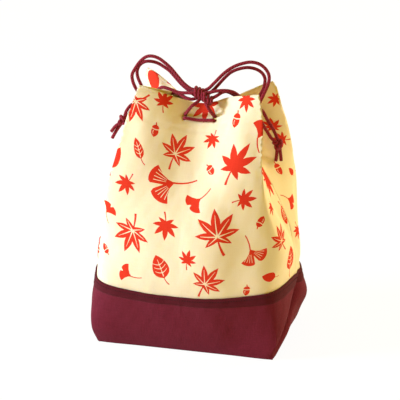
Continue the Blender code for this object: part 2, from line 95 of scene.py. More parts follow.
studio = {
    "keyPlace": (-1.84, -0.76, 0.84),
    "keySize": 0.60,
    "keyPower": 79.0,
    "keyTint": (0.66, 0.80, 1.0),
    "fillPlace": (1.8, 1.35, 0.95),
    "fillSize": 0.9,
    "fillPower": 48.0,
    "fillTint": (0.92, 0.82, 0.58),
    "aim": (0, 0, 0.14),       # both lamps point here
    "around": (1.0, 0.71, 0.05),
    "aroundStrength": 0.60,
    "backdropStrength": 1.0,   # the white that the camera sees behind the pouch
    "floor": (0.86, 0.86, 0.86),
    "floorSize": 6,
    "floorWhiteness": 0.90,    # share of its glow in what the camera sees of the floor
    "floorGlow": 1.04,
}


def areaLight(name, place, size, power, tint):
    lamp = bpy.data.lights.new(name, "AREA")
    lamp.shape = "DISK"
    lamp.size = size
    lamp.energy = power
    lamp.color = tint
    made = bpy.data.objects.new(name, lamp)
    made.location = place
    aim = Vector(studio["aim"]) - Vector(place)
    made.rotation_mode = "QUATERNION"
    made.rotation_quaternion = aim.to_track_quat("-Z", "Y")
    bpy.context.scene.collection.objects.link(made)


def whiteRays(nodes, links):
    # 1 for camera, glossy and transmission rays
    path = nodes.new("ShaderNodeLightPath")
    total = path.outputs["Is Camera Ray"]
    for ray in ("Is Glossy Ray", "Is Transmission Ray"):
        more = nodes.new("ShaderNodeMath")
        more.operation = "ADD"
        more.use_clamp = True
        links.new(total, more.inputs[0])
        links.new(path.outputs[ray], more.inputs[1])
        total = more.outputs[0]
    return total


def coloured(nodes, kind, colour, strength=None):
    made = nodes.new("ShaderNode" + kind)
    made.inputs["Color"].default_value = (*colour, 1)
    if strength is not None:
        made.inputs["Strength"].default_value = strength
    return made


def blend(nodes, links, share, first, second, output):
    mix = nodes.new("ShaderNodeMixShader")
    links.new(share, mix.inputs["Fac"])
    links.new(first.outputs[0], mix.inputs[1])
    links.new(second.outputs[0], mix.inputs[2])
    links.new(mix.outputs[0], nodes.new("ShaderNode" + output).inputs["Surface"])


def makeWorld():
    world = bpy.data.worlds.new("studio")
    bpy.context.scene.world = world
    world.use_nodes = True
    nodes, links = world.node_tree.nodes, world.node_tree.links
    nodes.clear()
    ambient = coloured(nodes, "Background", studio["around"], studio["aroundStrength"])
    white = coloured(nodes, "Background", (1, 1, 1), studio["backdropStrength"])
    blend(nodes, links, whiteRays(nodes, links), ambient, white, "OutputWorld")


def makeFloor():
    bm = bmesh.new()
    bmesh.ops.create_grid(bm, x_segments=1, y_segments=1, size=studio["floorSize"])
    mesh = bpy.data.meshes.new("floor")
    bm.to_mesh(mesh)
    bm.free()
    floor = bpy.data.objects.new("floor", mesh)
    bpy.context.scene.collection.objects.link(floor)
    paint = bpy.data.materials.new("pale floor")
    paint.use_nodes = True
    nodes, links = paint.node_tree.nodes, paint.node_tree.links
    nodes.clear()
    diffuse = coloured(nodes, "BsdfDiffuse", studio["floor"])
    glow = coloured(nodes, "Emission", (1, 1, 1), studio["floorGlow"])
    share = nodes.new("ShaderNodeMath")
    share.operation = "MULTIPLY"
    links.new(whiteRays(nodes, links), share.inputs[0])
    share.inputs[1].default_value = studio["floorWhiteness"]
    blend(nodes, links, share.outputs[0], diffuse, glow, "OutputMaterial")
    mesh.materials.append(paint)


makeCamera()
for lampName in ("key", "fill"):
    areaLight(lampName, *[studio[lampName + part] for part in ("Place", "Size", "Power", "Tint")])
makeWorld()
makeFloor()
bpy.context.scene.view_settings.view_transform = "Standard"
print("camera and studio made")

# Materials


class Finish:
    # a Principled material, with short ways to add nodes
    def __init__(self, name, roughness, sheen):
        self.material = bpy.data.materials.new(name)
        self.material.use_nodes = True
        self.nodes = self.material.node_tree.nodes
        self.links = self.material.node_tree.links
        self.shader = self.nodes["Principled BSDF"]
        self.shader.inputs["Roughness"].default_value = roughness
        self.shader.inputs["Sheen Weight"].default_value = sheen
        self.shader.inputs["Sheen Roughness"].default_value = 0.6
        self.shader.inputs["Specular IOR Level"].default_value = 0.08

    def node(self, kind, *ordered, **named):
        made = self.nodes.new("ShaderNode" + kind)
        for socket, value in list(enumerate(ordered)) + list(named.items()):
            self.put(made.inputs[socket], value)
        return made

    def put(self, socket, value):
        if isinstance(value, bpy.types.NodeSocket):
            self.links.new(value, socket)
        else:
            socket.default_value = value

    def maths(self, operation, first, second=0.0):
        made = self.node("Math", first, second)
        made.operation = operation
        return made.outputs[0]

    def plus(self, first, second):
        return self.maths("ADD", first, second)

    def times(self, first, second):
        return self.maths("MULTIPLY", first, second)

    def wave(self, first, second):
        return self.maths("SINE", self.plus(first, second))

    def mixed(self, fac, first, second):
        made = self.nodes.new("ShaderNodeMix")
        made.data_type = "RGBA"
        for socket, value in (("Factor", fac), ("A", first), ("B", second)):
            self.put(made.inputs[socket], (*value, 1) if isinstance(value, tuple) else value)
        return made.outputs["Result"]

    def ramp(self, value, low, high):
        made = self.node("MapRange", Value=value)
        made.inputs["From Min"].default_value = low
        made.inputs["From Max"].default_value = high
        return made.outputs["Result"]

    def noise(self, vector, scale, detail=2.0):
        return self.node("TexNoise", Vector=vector, Scale=scale, Detail=detail).outputs["Fac"]

    def stretchedNoise(self, vector, scale):
        stretched = self.node("VectorMath", vector, scale)
        stretched.operation = "MULTIPLY"
        return self.noise(stretched.outputs[0], 1.0)

    def bump(self, height, distance):
        made = self.node("Bump", Height=height, Distance=distance, Strength=1.0)
        self.links.new(made.outputs["Normal"], self.shader.inputs["Normal"])


weave = {
    "wobble": 900.0,           # noise that shifts the threads
    "slub": (1100, 90),        # noise across and along a thread
    "threadShade": (0.38, 0.64),
    "patches": 14.0,           # noise of the mottling
    "patchShade": (0.35, 0.75),
    "glowColour": (1.0, 0.62, 0.22),
    "glowDepth": 0.002,        # metres that light goes in
}


def wovenCloth(name, ground, thread, patch, mottle, pitch=0.0009, depth=0.00012, roughness=0.85,
               sheen=0.05, glow=0.0):
    # colours: the ground, a darker thread and a warmer patch; the UV map is the flat cloth in metres
    # glow: share of the light that passes into thin cloth
    finish = Finish(name, roughness, sheen)
    flat = finish.node("UVMap").outputs[0]
    parts = finish.node("SeparateXYZ", Vector=flat)
    wobble = finish.noise(flat, weave["wobble"])
    turn = 2 * math.pi / pitch
    warp, weft = [finish.wave(finish.times(parts.outputs[axis], turn), wobble) for axis in "XY"]
    crossing = finish.times(warp, weft)
    fine, coarse = weave["slub"]
    streaks = [finish.stretchedNoise(flat, scale) for scale in ((fine, coarse, 1), (coarse, fine, 1))]
    slub = finish.times(finish.plus(*streaks), 0.5)
    shade = finish.plus(finish.times(crossing, 0.25), slub)
    dyed = finish.mixed(finish.ramp(shade, *weave["threadShade"]), ground, thread)
    place = finish.node("TexCoord").outputs["Object"]
    patches = finish.ramp(finish.noise(place, weave["patches"], 3.0), *weave["patchShade"])
    dyed = finish.mixed(finish.times(patches, mottle), dyed, patch)
    finish.links.new(dyed, finish.shader.inputs["Base Color"])
    finish.bump(finish.plus(finish.times(crossing, 0.5), finish.times(slub, 0.9)), depth)
    if glow:
        finish.shader.inputs["Subsurface Weight"].default_value = glow
        finish.shader.inputs["Subsurface Radius"].default_value = weave["glowColour"]
        finish.shader.inputs["Subsurface Scale"].default_value = weave["glowDepth"]
    return finish.material


braiding = {
    "strands": 4,              # each way round the cord
    "pitch": 0.0032,
    "depth": 0.00028,
    "fluff": 1800.0,           # noise of the loose fibres
    "roughness": 0.62,
    "sheen": 0.08,
}


def braid(name, shaded, lit):
    # the UV map gives the share of the way round, and the length in metres
    finish = Finish(name, braiding["roughness"], braiding["sheen"])
    parts = finish.node("SeparateXYZ", Vector=finish.node("UVMap").outputs[0])
    across = finish.times(parts.outputs["X"], 2 * math.pi * braiding["strands"])
    along = finish.times(parts.outputs["Y"], 2 * math.pi / braiding["pitch"])
    leaning = finish.wave(across, along)
    crossing = finish.maths("SINE", finish.maths("SUBTRACT", across, along))
    strand = finish.maths("MAXIMUM", leaning, crossing)
    fluff = finish.noise(finish.node("TexCoord").outputs["Object"], braiding["fluff"])
    tone = finish.plus(finish.times(strand, 0.35), finish.times(fluff, 0.7))
    finish.links.new(finish.mixed(finish.ramp(tone, 0.0, 0.75), shaded, lit),
                     finish.shader.inputs["Base Color"])
    finish.bump(finish.plus(strand, finish.times(fluff, 0.6)), braiding["depth"])
    return finish.material


creamPrint = wovenCloth("cream printed cloth", ground=(0.95, 0.765, 0.57), thread=(0.91, 0.71, 0.49),
                        patch=(0.93, 0.70, 0.43), mottle=0.45, glow=0.30)
redPrint = wovenCloth("red print on cloth", ground=(0.74, 0.040, 0.013), thread=(0.64, 0.028, 0.011),
                      patch=(0.62, 0.024, 0.011), mottle=0.5, sheen=0.03)
# The reverse of the cloth is an amber copy of the cream ground: painted shade for the shaded, translucent
# inside of the pouch.
shadedClothReverse = wovenCloth("cloth reverse with painted shade", ground=(0.92, 0.66, 0.24), thread=(0.86, 0.60, 0.20),
                          patch=(0.86, 0.55, 0.16), mottle=0.4, glow=0.30)
maroonCloth = wovenCloth("maroon base cloth", ground=(0.186, 0.014, 0.034), thread=(0.108, 0.007, 0.018),
                         patch=(0.145, 0.010, 0.022), mottle=0.6, pitch=0.0014, depth=0.00030, sheen=0.04)
# The band along the top edge is a darker copy of the base cloth: painted shade, as the band catches less
# light.
shadedMaroonBand = wovenCloth("maroon band with painted shade", ground=(0.108, 0.006, 0.014), thread=(0.066, 0.004, 0.009),
                        patch=(0.088, 0.005, 0.012), mottle=0.5, pitch=0.0014, depth=0.00030, sheen=0.04)
darkThread = wovenCloth("dark thread", ground=(0.030, 0.003, 0.006), thread=(0.020, 0.002, 0.004),
                        patch=(0.026, 0.003, 0.005), mottle=0.3, pitch=0.0006, depth=0.0001, roughness=0.8)
cordBraid = braid("maroon cord braid", shaded=(0.085, 0.003, 0.008), lit=(0.310, 0.012, 0.032))
print("materials made")

# The shape of the standing cloth

cloth = {
    "bottomLength": 0.178,
    "bottomDepth": 0.108,
    "bellyLength": 0.204,
    "bellyDepth": 0.123,
    "seamHeight": 0.0625,
    "seamRise": 0.010,         # the base seam is higher at the sides
    "seamSlope": 0.035,        # and to the right
    "mouthHeight": 0.269,
    "upperDepth": 0.0013,      # the upper cloth lies this far inside the base cloth
    "freeDepth": 0.0004,       # and so far inside the outline above it
    "freeFrom": 0.003,         # it comes free this far above the seam
    "freeOver": 0.014,         # and over this length
    "upperThickness": 0.0005,
    "hemDepth": 0.030,
    "hemGap": 0.0016,          # between the printed faces of the cloth and of its turned hem
    "hemRadius": 0.0007,
    "lap": 0.011,              # of the upper cloth behind the base cloth
    "cordDrop": 0.0215,
    "perSpan": 36,             # columns between two points of a row
    "rowStep": 0.0016,
}

# Rows of the cloth from the floor to the mouth, in mm. y: depth at the middle, quarter and corner fold,
# in the lower rows past the bottom's. front, back, side: left and right, in the lower rows past the
# bottom's ends. drop: how far the middle, the quarter and the side seam stand below the corner folds.
# crisp: how sharp the corner folds are.
lowerRows = [
    dict(up=0.00, y=(0, 0, 0), front=(0, 2.5), side=(0, 1), crisp=0.8),
    dict(up=0.22, y=(3, 2.5, 0), front=(-6.5, 6), side=(-8.5, 9), crisp=0.45),
    dict(up=0.60, y=(6, 5, -3), front=(-5, 5), side=(-12.5, 12.5), crisp=0.10),
]
upperRows = [
    dict(up=0.00, y=(61.5, 60, 50.5), drop=(0, 0, 0), middle=0, front=(-88, 89), back=(-88, 90),
         side=(-102, 102), crisp=0),
    dict(up=0.24, y=(61, 58, 41), drop=(3, 2, -2), middle=1, front=(-89, 94), back=(-90, 95),
         side=(-95, 99), crisp=0),
    dict(up=0.49, y=(55, 54, 45), drop=(5, 3, 2), middle=2, front=(-82, 81), back=(-88, 93),
         side=(-71, 79), crisp=0.4),
    dict(up=0.68, y=(45, 46, 41), drop=(12, 7, 5), middle=5, front=(-71, 76), back=(-75, 87),
         side=(-48, 60), crisp=0.85),
    dict(up=0.85, y=(28.5, 32, 31), drop=(10, 7, 9), middle=8, front=(-63, 74), back=(-64, 80),
         side=(-33, 47), crisp=1),
    dict(up=1.00, y=(4, 13.5, 22), drop=(22, 12, 12), middle=9, front=(-54, 69.5), back=(-60, 74),
         side=(-24, 42), crisp=1),
]
cornerFolds = (2, 4, 8, 10)


def hermite(start, end, startPull, endPull, t):
    return ((2 * t ** 3 - 3 * t ** 2 + 1) * start + (t ** 3 - 2 * t ** 2 + t) * startPull
            + (3 * t ** 2 - 2 * t ** 3) * end + (t ** 3 - t ** 2) * endPull)


def smoothThrough(knots, points, at):
    # the smooth open curve through points, at one parameter
    last = len(knots) - 2
    span = min(max(int(np.searchsorted(knots, at, side="right")) - 1, 0), last)
    pulls = []
    for i in (span, span + 1):
        a, b = max(i - 1, 0), min(i + 1, last + 1)
        if 0 < i < last + 1:
            before = (points[i] - points[a]) / (knots[i] - knots[a])
            after = (points[b] - points[i]) / (knots[b] - knots[i])
            share = (knots[b] - knots[i]) / (knots[b] - knots[a])
            pulls.append(before * share + after * (1 - share))
        else:
            pulls.append((points[b] - points[a]) / (knots[b] - knots[a]))
    width = knots[span + 1] - knots[span]
    t = (at - knots[span]) / width
    return hermite(points[span], points[span + 1], pulls[0] * width, pulls[1] * width, t)


def rowPoints(fold, front, back, side, middleX, heights):
    middle, quarter, corner = fold
    midZ, quarterZ, cornerZ, sideZ = heights
    return np.array([
        (middleX, -middle, midZ),
        ((middleX + front[1]) / 2, -quarter, quarterZ),
        (front[1], -corner, cornerZ),
        (side[1], 0, sideZ),
        (back[1], corner, cornerZ),
        ((middleX + back[1]) / 2, quarter, quarterZ),
        (middleX, middle, midZ),
        ((middleX + back[0]) / 2, quarter, quarterZ),
        (back[0], corner, cornerZ),
        (side[0], 0, sideZ),
        (front[0], -corner, cornerZ),
        ((middleX + front[0]) / 2, -quarter, quarterZ),
    ])


def clothRows():
    rows = []
    halfLength, halfDepth = cloth["bottomLength"] / 2, cloth["bottomDepth"] / 2
    for row in lowerRows:
        fold = [halfDepth + d * mm for d in row["y"]]
        corners = (row["front"][0] * mm - halfLength, row["front"][1] * mm + halfLength)
        sides = (row["side"][0] * mm - halfLength, row["side"][1] * mm + halfLength)
        z = cloth["seamHeight"] * row["up"]
        sideZ = z + cloth["seamRise"] * row["up"] / 2
        rows.append(rowPoints(fold, corners, corners, sides, 0, (z, z, (z + sideZ) / 2, sideZ)))
    wide = cloth["bellyLength"] / 2 / (upperRows[0]["side"][1] * mm)
    deep = cloth["bellyDepth"] / 2 / (upperRows[0]["y"][0] * mm)
    for row in upperRows:
        up = row["up"]
        fold = [y * mm * (deep + (1 - deep) * up) for y in row["y"]]
        spread = mm * (wide + (1 - wide) * up)
        front, back, side = [[x * spread for x in row[name]] for name in ("front", "back", "side")]
        top = cloth["seamHeight"] + (cloth["mouthHeight"] - cloth["seamHeight"]) * up
        midZ, quarterZ, sideZ = [top - drop * mm for drop in row["drop"]]
        if up == 0:
            rise = cloth["seamRise"]
            heights = (top, top + rise * 0.15, top + rise * 0.7, top + rise)
            points = rowPoints(fold, front, back, side, 0, heights)
            points[:, 2] += cloth["seamSlope"] * points[:, 0]
        else:
            points = rowPoints(fold, front, back, side, row["middle"] * mm, (midZ, quarterZ, top, sideZ))
        rows.append(points)
    return np.array(rows)


rows = clothRows()
crispness = [row["crisp"] for row in lowerRows + upperRows]
rowSteps = [np.linalg.norm(rows[i + 1] - rows[i], axis=1).mean() for i in range(len(rows) - 1)]
rowUps = np.concatenate([[0.0], np.cumsum(rowSteps)])
seamUp = float(rowUps[len(lowerRows)])
mouthUp = float(rowUps[-1])
hemUp = mouthUp - cloth["hemDepth"]
cordsUp = mouthUp - cloth["cordDrop"]
perSpan = cloth["perSpan"]
arounds = np.arange(12 * perSpan) / perSpan
gridUps = np.linspace(0, mouthUp, int(mouthUp / cloth["rowStep"]) + 1)


def ringAt(up):
    # the closed outline of the cloth at one height, at every column
    row = np.array([smoothThrough(rowUps, rows[:, i], up) for i in range(12)])
    crisp = float(np.interp(up, rowUps, crispness))
    first = np.floor(arounds).astype(int)
    t = (arounds - first)[:, None]
    near = [row[(first + i) % 12] for i in (-1, 0, 1, 2)]
    chords = [np.linalg.norm(near[i + 1] - near[i], axis=1)[:, None] for i in range(3)]
    pulls = []
    for i in (1, 2):
        before = (near[i] - near[i - 1]) / chords[i - 1]
        after = (near[i + 1] - near[i]) / chords[i]
        share = chords[i] / (chords[i - 1] + chords[i])
        even = before * share + after * (1 - share)
        straight = (near[2] - near[1]) / chords[1]
        corner = np.isin((first + i - 1) % 12, cornerFolds)[:, None] * crisp
        pulls.append((even * (1 - corner) + straight * corner) * chords[1])
    return hermite(near[1], near[2], pulls[0], pulls[1], t)


# Soft dents and swells of the cloth. place: around and up in mm. spread: in the same units.
# out: mm, outwards. lean: change in around per 100 mm up.
dents = [
    dict(name="front dip under the bow", place=(0.1, 216), spread=(1.0, 54), out=-10.5, lean=0.3),
    dict(name="left front swell", place=(-1.45, 235), spread=(0.4, 60), out=2.0, lean=0.0),
    dict(name="right front swell", place=(1.35, 235), spread=(0.45, 70), out=2.4, lean=0.0),
    dict(name="right front hollow", place=(1.25, 130), spread=(0.4, 42), out=-2.4, lean=0.25),
    dict(name="left front hollow", place=(-1.35, 165), spread=(0.45, 22), out=-1.8, lean=-0.2),
    dict(name="front swell", place=(0.62, 120), spread=(0.8, 55), out=5.5, lean=0.0),
    dict(name="base right turn", place=(1.5, 34), spread=(0.6, 36), out=-4.0, lean=0.0),
    dict(name="left front roll", place=(-1.0, 118), spread=(0.6, 25), out=1.4, lean=-0.2),
    dict(name="gusset groove", place=(2.80, 130), spread=(0.16, 42), out=-3.0, lean=-0.9),
    dict(name="gusset swell", place=(3.40, 100), spread=(0.4, 45), out=2.6, lean=0.0),
    dict(name="base groove", place=(2.56, 30), spread=(0.12, 26), out=-20.0, lean=2.0),
    dict(name="base side swell", place=(3.46, 45), spread=(0.34, 15), out=7.0, lean=0.0),
    dict(name="back left groove", place=(8.25, 100), spread=(0.2, 45), out=-3.0, lean=-0.2),
    dict(name="left groove", place=(9.7, 105), spread=(0.2, 45), out=-3.0, lean=0.4),
    dict(name="left base groove", place=(9.5, 38), spread=(0.15, 30), out=-4.5, lean=-1.0),
    dict(name="back right groove", place=(3.75, 130), spread=(0.2, 40), out=-3.0, lean=0.4),
    dict(name="back swell", place=(5.4, 150), spread=(0.6, 60), out=2.0, lean=0.0),
    dict(name="back hollow", place=(6.8, 190), spread=(0.5, 45), out=-2.0, lean=0.0),
]

# Rise or droop of the mouth edge, or of the base seam. around: its middle. spread: in the same unit.
# up: mm. flatness: 2 for a rounded rise, 4 for a flatter one.
edgeLifts = [
    dict(name="droop of the right side seam", edge="seam", around=3.5, spread=0.6, up=-8.0, flatness=2),
    dict(name="droop of the back edge", edge="mouth", around=6.0, spread=1.1, up=-6.0, flatness=4),
    dict(name="right half of the front edge", edge="mouth", around=0.6, spread=0.9, up=6.0, flatness=2),
    dict(name="back left corner", edge="mouth", around=8.0, spread=0.75, up=5.5, flatness=2),
]


unevenness = {
    "soft": 0.35,              # mm, over the whole cloth
    "fine": 0.14,              # mm
    "pucker": 0.6,             # mm, along the stitching of the hem
    "puckerWidth": 0.0018,
    "foot": 0.014,             # the cloth is flat at the floor and uneven from this length up
}


def rumple(around, up):
    # outward movement of the cloth, in metres
    total = np.zeros(np.broadcast(around, up).shape)
    for dent in dents:
        away = around - dent["place"][0] - dent["lean"] * (up / mm - dent["place"][1]) / 100
        away = (away + 6) % 12 - 6
        rise = (up / mm - dent["place"][1]) / dent["spread"][1]
        total += dent["out"] * mm * np.exp(-(away / dent["spread"][0]) ** 2 - rise ** 2)
    soft = np.sin(around * 5.1 + up * 31) * np.sin(up * 74 + around * 2.3 + 1.0)
    fine = np.sin(around * 14.7 - up * 63 + 0.7) * np.sin(up * 121 - around * 4.9)
    total += (unevenness["soft"] * soft + unevenness["fine"] * fine) * mm * np.clip(up / 0.03, 0, 1)
    fromFold = np.min([np.abs((around - corner + 6) % 12 - 6) for corner in cornerFolds], axis=0)
    pucker = np.exp(-((up - hemUp) / unevenness["puckerWidth"]) ** 2) * np.clip(fromFold / 0.3 - 0.3, 0, 1)
    return (total - unevenness["pucker"] * mm * pucker) * np.clip(up / unevenness["foot"], 0, 1)


def outwards(points):
    # normals of a closed grid of rows and columns
    side = np.roll(points, -1, axis=1) - np.roll(points, 1, axis=1)
    rise = np.gradient(points, axis=0)
    normal = np.cross(side, rise)
    return normal / np.linalg.norm(normal, axis=2)[..., None]


def makeSkin():
    points = np.array([ringAt(up) for up in gridUps])
    around, up = arounds[None, :], gridUps[:, None]
    points = points + outwards(points) * rumple(around, up)[..., None]
    reach = {"mouth": np.clip((up - hemUp + 0.02) / 0.05, 0, 1) ** 2,
             "seam": np.exp(-((up - seamUp) / 0.030) ** 2) * np.clip(up / 0.03, 0, 1)}
    for lift in edgeLifts:
        away = ((around - lift["around"] + 6) % 12 - 6) / lift["spread"]
        points[..., 2] += lift["up"] * mm * np.exp(-np.abs(away) ** lift["flatness"]) * reach[lift["edge"]]
    points[..., 2] = np.maximum(points[..., 2], 0)
    return points


skin = makeSkin()
skinOut = outwards(skin)


def firstCrossing(first, second):
    # where two outlines first cross, seen from above
    a, b = first[:-1, None, :2], first[1:, None, :2]
    c, d = second[None, :-1, :2], second[None, 1:, :2]
    ab, cd, ac = b - a, d - c, c - a
    turn = ab[..., 0] * cd[..., 1] - ab[..., 1] * cd[..., 0]
    turn = np.where(np.abs(turn) < 1e-16, 1e-16, turn)
    t = (ac[..., 0] * cd[..., 1] - ac[..., 1] * cd[..., 0]) / turn
    u = (ac[..., 0] * ab[..., 1] - ac[..., 1] * ab[..., 0]) / turn
    hits = np.argwhere((t >= 0) & (t <= 1) & (u >= 0) & (u <= 1))
    if len(hits) == 0:
        return None
    i, j = hits[0]
    return i + t[i, j], j + u[i, j]


def layer(depth):
    # a layer of cloth inside the skin, cut so that it turns sharply inside the corner folds
    shifted = skin - skinOut * np.reshape(depth, (-1, 1, 1))
    result = shifted.copy()
    count = 12 * perSpan
    reach = perSpan - 3                                # columns looked at on each side of a fold
    for i in range(len(shifted)):
        for corner in cornerFolds:
            middle = corner * perSpan
            before = np.arange(middle - reach, middle)
            after = np.arange(middle + reach, middle, -1)
            meet = firstCrossing(shifted[i][before % count], shifted[i][after % count])
            if meet is None:
                continue
            for sign, at in ((-1, meet[0]), (1, meet[1])):
                kept = (reach - at) / perSpan          # share of the span that is left out
                columns = middle + sign * np.arange(0, perSpan + 1)
                away = perSpan - (perSpan - np.arange(0, perSpan + 1)) * (1 - kept)
                low = np.floor(away).astype(int)
                part = (away - low)[:, None]
                here = shifted[i][(middle + sign * low) % count]
                there = shifted[i][(middle + sign * np.minimum(low + 1, perSpan)) % count]
                placed = here * (1 - part) + there * part
                if sign == 1:
                    placed[0] = (placed[0] + result[i][middle % count]) / 2
                result[i][columns % count] = placed
    return result


def onLayer(grid, around, up):
    # points of a layer, between its rows and columns
    column = (np.asarray(around) % 12) * perSpan
    row = np.clip(np.asarray(up) / (gridUps[1] - gridUps[0]), 0, len(gridUps) - 1.001)
    c, r = np.floor(column).astype(int), np.floor(row).astype(int)
    dc, dr = (column - c)[..., None], (row - r)[..., None]
    count = 12 * perSpan
    low = grid[r, c % count] * (1 - dc) + grid[r, (c + 1) % count] * dc
    high = grid[r + 1, c % count] * (1 - dc) + grid[r + 1, (c + 1) % count] * dc
    return low * (1 - dr) + high * dr


freed = np.clip((gridUps - seamUp - cloth["freeFrom"]) / cloth["freeOver"], 0, 1)
upperDepths = cloth["upperDepth"] + (cloth["freeDepth"] - cloth["upperDepth"]) * freed
upperLayer = layer(upperDepths)
hemLayer = layer(upperDepths + cloth["hemGap"])
print("cloth shaped: seam at", round(seamUp, 4), "mouth at", round(mouthUp, 4))


def addPiece(name, bm, materials):
    mesh = bpy.data.meshes.new(name)
    bm.to_mesh(mesh)
    bm.free()
    mesh.shade_smooth()
    for finish in materials:
        mesh.materials.append(finish)
    piece = bpy.data.objects.new(name, mesh)
    bpy.context.scene.collection.objects.link(piece)
    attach(piece, "root")
    return piece


def gridPiece(columns, rowCount, place, flat):
    # a grid whose corners are moved by place(u, v), with a UV map from flat(u, v); u and v are 0 to 1
    bm = bmesh.new()
    bmesh.ops.create_grid(bm, x_segments=columns, y_segments=rowCount, size=1)
    uv = bm.loops.layers.uv.new("UVMap")
    u = np.array([(vert.co.x + 1) / 2 for vert in bm.verts])
    v = np.array([(vert.co.y + 1) / 2 for vert in bm.verts])
    placed = place(u, v)
    mapped = flat(u, v)
    for vert, point in zip(bm.verts, placed):
        vert.co = point
    bm.verts.index_update()
    for face in bm.faces:
        for loop in face.loops:
            loop[uv].uv = mapped[loop.vert.index]
    return bm


# Cords

cordSize = {
    "diameter": 0.0030,
    "look": 0.00335,           # over the soft outer strands of the braid
    "sides": 14,
    "step": 0.0009,
}


def walk(points, step):
    # evenly spaced points on the smooth curve through a route
    points = [np.asarray(p, float) for p in points]
    knots = [0.0]
    for a, b in zip(points, points[1:]):
        knots.append(knots[-1] + math.sqrt(np.linalg.norm(b - a)))
    fine = np.array([smoothThrough(knots, points, t) for t in np.linspace(0, knots[-1], 40 * len(points))])
    length = np.concatenate([[0], np.cumsum(np.linalg.norm(np.diff(fine, axis=0), axis=1))])
    at = np.linspace(0, length[-1], max(4, int(length[-1] / step)))
    return np.stack([np.interp(at, length, fine[:, k]) for k in range(3)], -1), float(length[-1])


def turned(first, second, angle):
    # the direction at an angle from the first towards the second
    return first * np.cos(angle)[:, None] + second * np.sin(angle)[:, None]


def tube(line, closed=False):
    # a round cord along a line, with a UV map of the way round and the length
    count = len(line)
    ahead = np.roll(line, -1, axis=0) - np.roll(line, 1, axis=0)
    if not closed:
        ahead[0], ahead[-1] = line[1] - line[0], line[-1] - line[-2]
    ahead /= np.linalg.norm(ahead, axis=1)[:, None]
    normal = np.cross(ahead[0], (0.3, 0.5, 0.8))
    normals = []
    for direction in ahead:
        normal = normal - direction * (normal @ direction)
        normal = normal / np.linalg.norm(normal)
        normals.append(normal)
    normals = np.array(normals)
    binormals = np.cross(ahead, normals)
    if closed:
        # the tube arrives turned by some angle, which is shared out along it
        miss = math.atan2(normals[-1] @ binormals[0], normals[-1] @ normals[0])
        turn = -miss * np.arange(count) / max(count - 1, 1)
        normals, binormals = turned(normals, binormals, turn), turned(binormals, -normals, turn)
    gaps = np.linalg.norm(np.diff(line, axis=0), axis=1)
    length = np.concatenate([[0], np.cumsum(gaps)])
    extra = np.linalg.norm(line[0] - line[-1])

    def place(u, v):
        k = np.rint(u * (count if closed else count - 1)).astype(int) % count
        return line[k] + cordSize["look"] / 2 * turned(normals[k], binormals[k], 2 * math.pi * v)

    def flat(u, v):
        if closed:
            along = np.interp(u * count, np.arange(count + 1), np.append(length, length[-1] + extra))
        else:
            along = np.interp(u * (count - 1), np.arange(count), length)
        return np.stack((v, along), -1)

    bm = gridPiece(count if closed else count - 1, cordSize["sides"], place, flat)
    bmesh.ops.remove_doubles(bm, verts=bm.verts, dist=1e-6)
    if not closed:
        bmesh.ops.holes_fill(bm, edges=[e for e in bm.edges if e.is_boundary], sides=0)
    bmesh.ops.recalc_face_normals(bm, faces=bm.faces)
    return bm


def alongHem(around, length):
    # the change of around for a length along the skin, at the height of the cords
    step = 0.01
    gap = np.linalg.norm(onLayer(skin, around + step, cordsUp) - onLayer(skin, around - step, cordsUp))
    return length * 2 * step / gap


drawcords = {
    "pitch": 0.0042,           # one cord above the other inside the hem
    "slitLength": 0.0105,      # opening of each side seam
    "slitHeight": 0.0090,
    "holeSpacing": 0.0308,     # the two holes in the front
    "holeShift": -0.0018,      # of their middle to the left
    "holeLength": 0.0046,
    "holeHeight": 0.0084,
    "holeRise": 0.0050,        # the front holes are above the slits
    "holeStart": 0.0023,       # a cord starts this far inside its hole
    "slitReach": 0.6,          # share of the slit's length that a cord runs square to the hem
    "holeReach": 1.1,          # the same at a hole, as a share of the cord's thickness
    "clear": 0.0003,           # between the front run and the cloth
    "rightKnot": (78.8, 16.0, 203.0),
    "leftKnot": (-69.0, -23.0, 229.5),
    "bow": (5.8, -10.4, 259.4),
    "bowReach": 7.5,           # mm from its middle to where the strands go in
    "hitch": (15.6, -15.0, 256.0),
}


def cordUp(level):
    return cordsUp + (level - 0.5) * drawcords["pitch"]


def outOfHem(around, up, facing, start, reach):
    # a short straight start of a cord, square to the hem
    outward = onLayer(skin, facing, up) - onLayer(skin - skinOut * cordSize["diameter"], facing, up)
    outward = outward / np.linalg.norm(outward)
    first = onLayer(skin - skinOut * start, around, up)
    return [first, first + outward * reach / 2, first + outward * reach]


def outOfSlit(seam, toward, level):
    around = seam + toward * alongHem(seam, drawcords["slitLength"] / 4)
    reach = drawcords["slitLength"] * drawcords["slitReach"]
    return outOfHem(around, cordUp(level), seam, cloth["upperDepth"], reach)


def holeAround(side):
    # side: -1 the left hole, 1 the right hole
    length = drawcords["holeShift"] + side * drawcords["holeSpacing"] / 2
    return alongHem(0, length)


def outOfHole(side, level):
    around = holeAround(side)
    up = cordUp(level) + drawcords["holeRise"]
    reach = cordSize["diameter"] * drawcords["holeReach"]
    return outOfHem(around, up, around, drawcords["holeStart"], reach)


def inMm(*points):
    return [np.array(p) * mm for p in points]


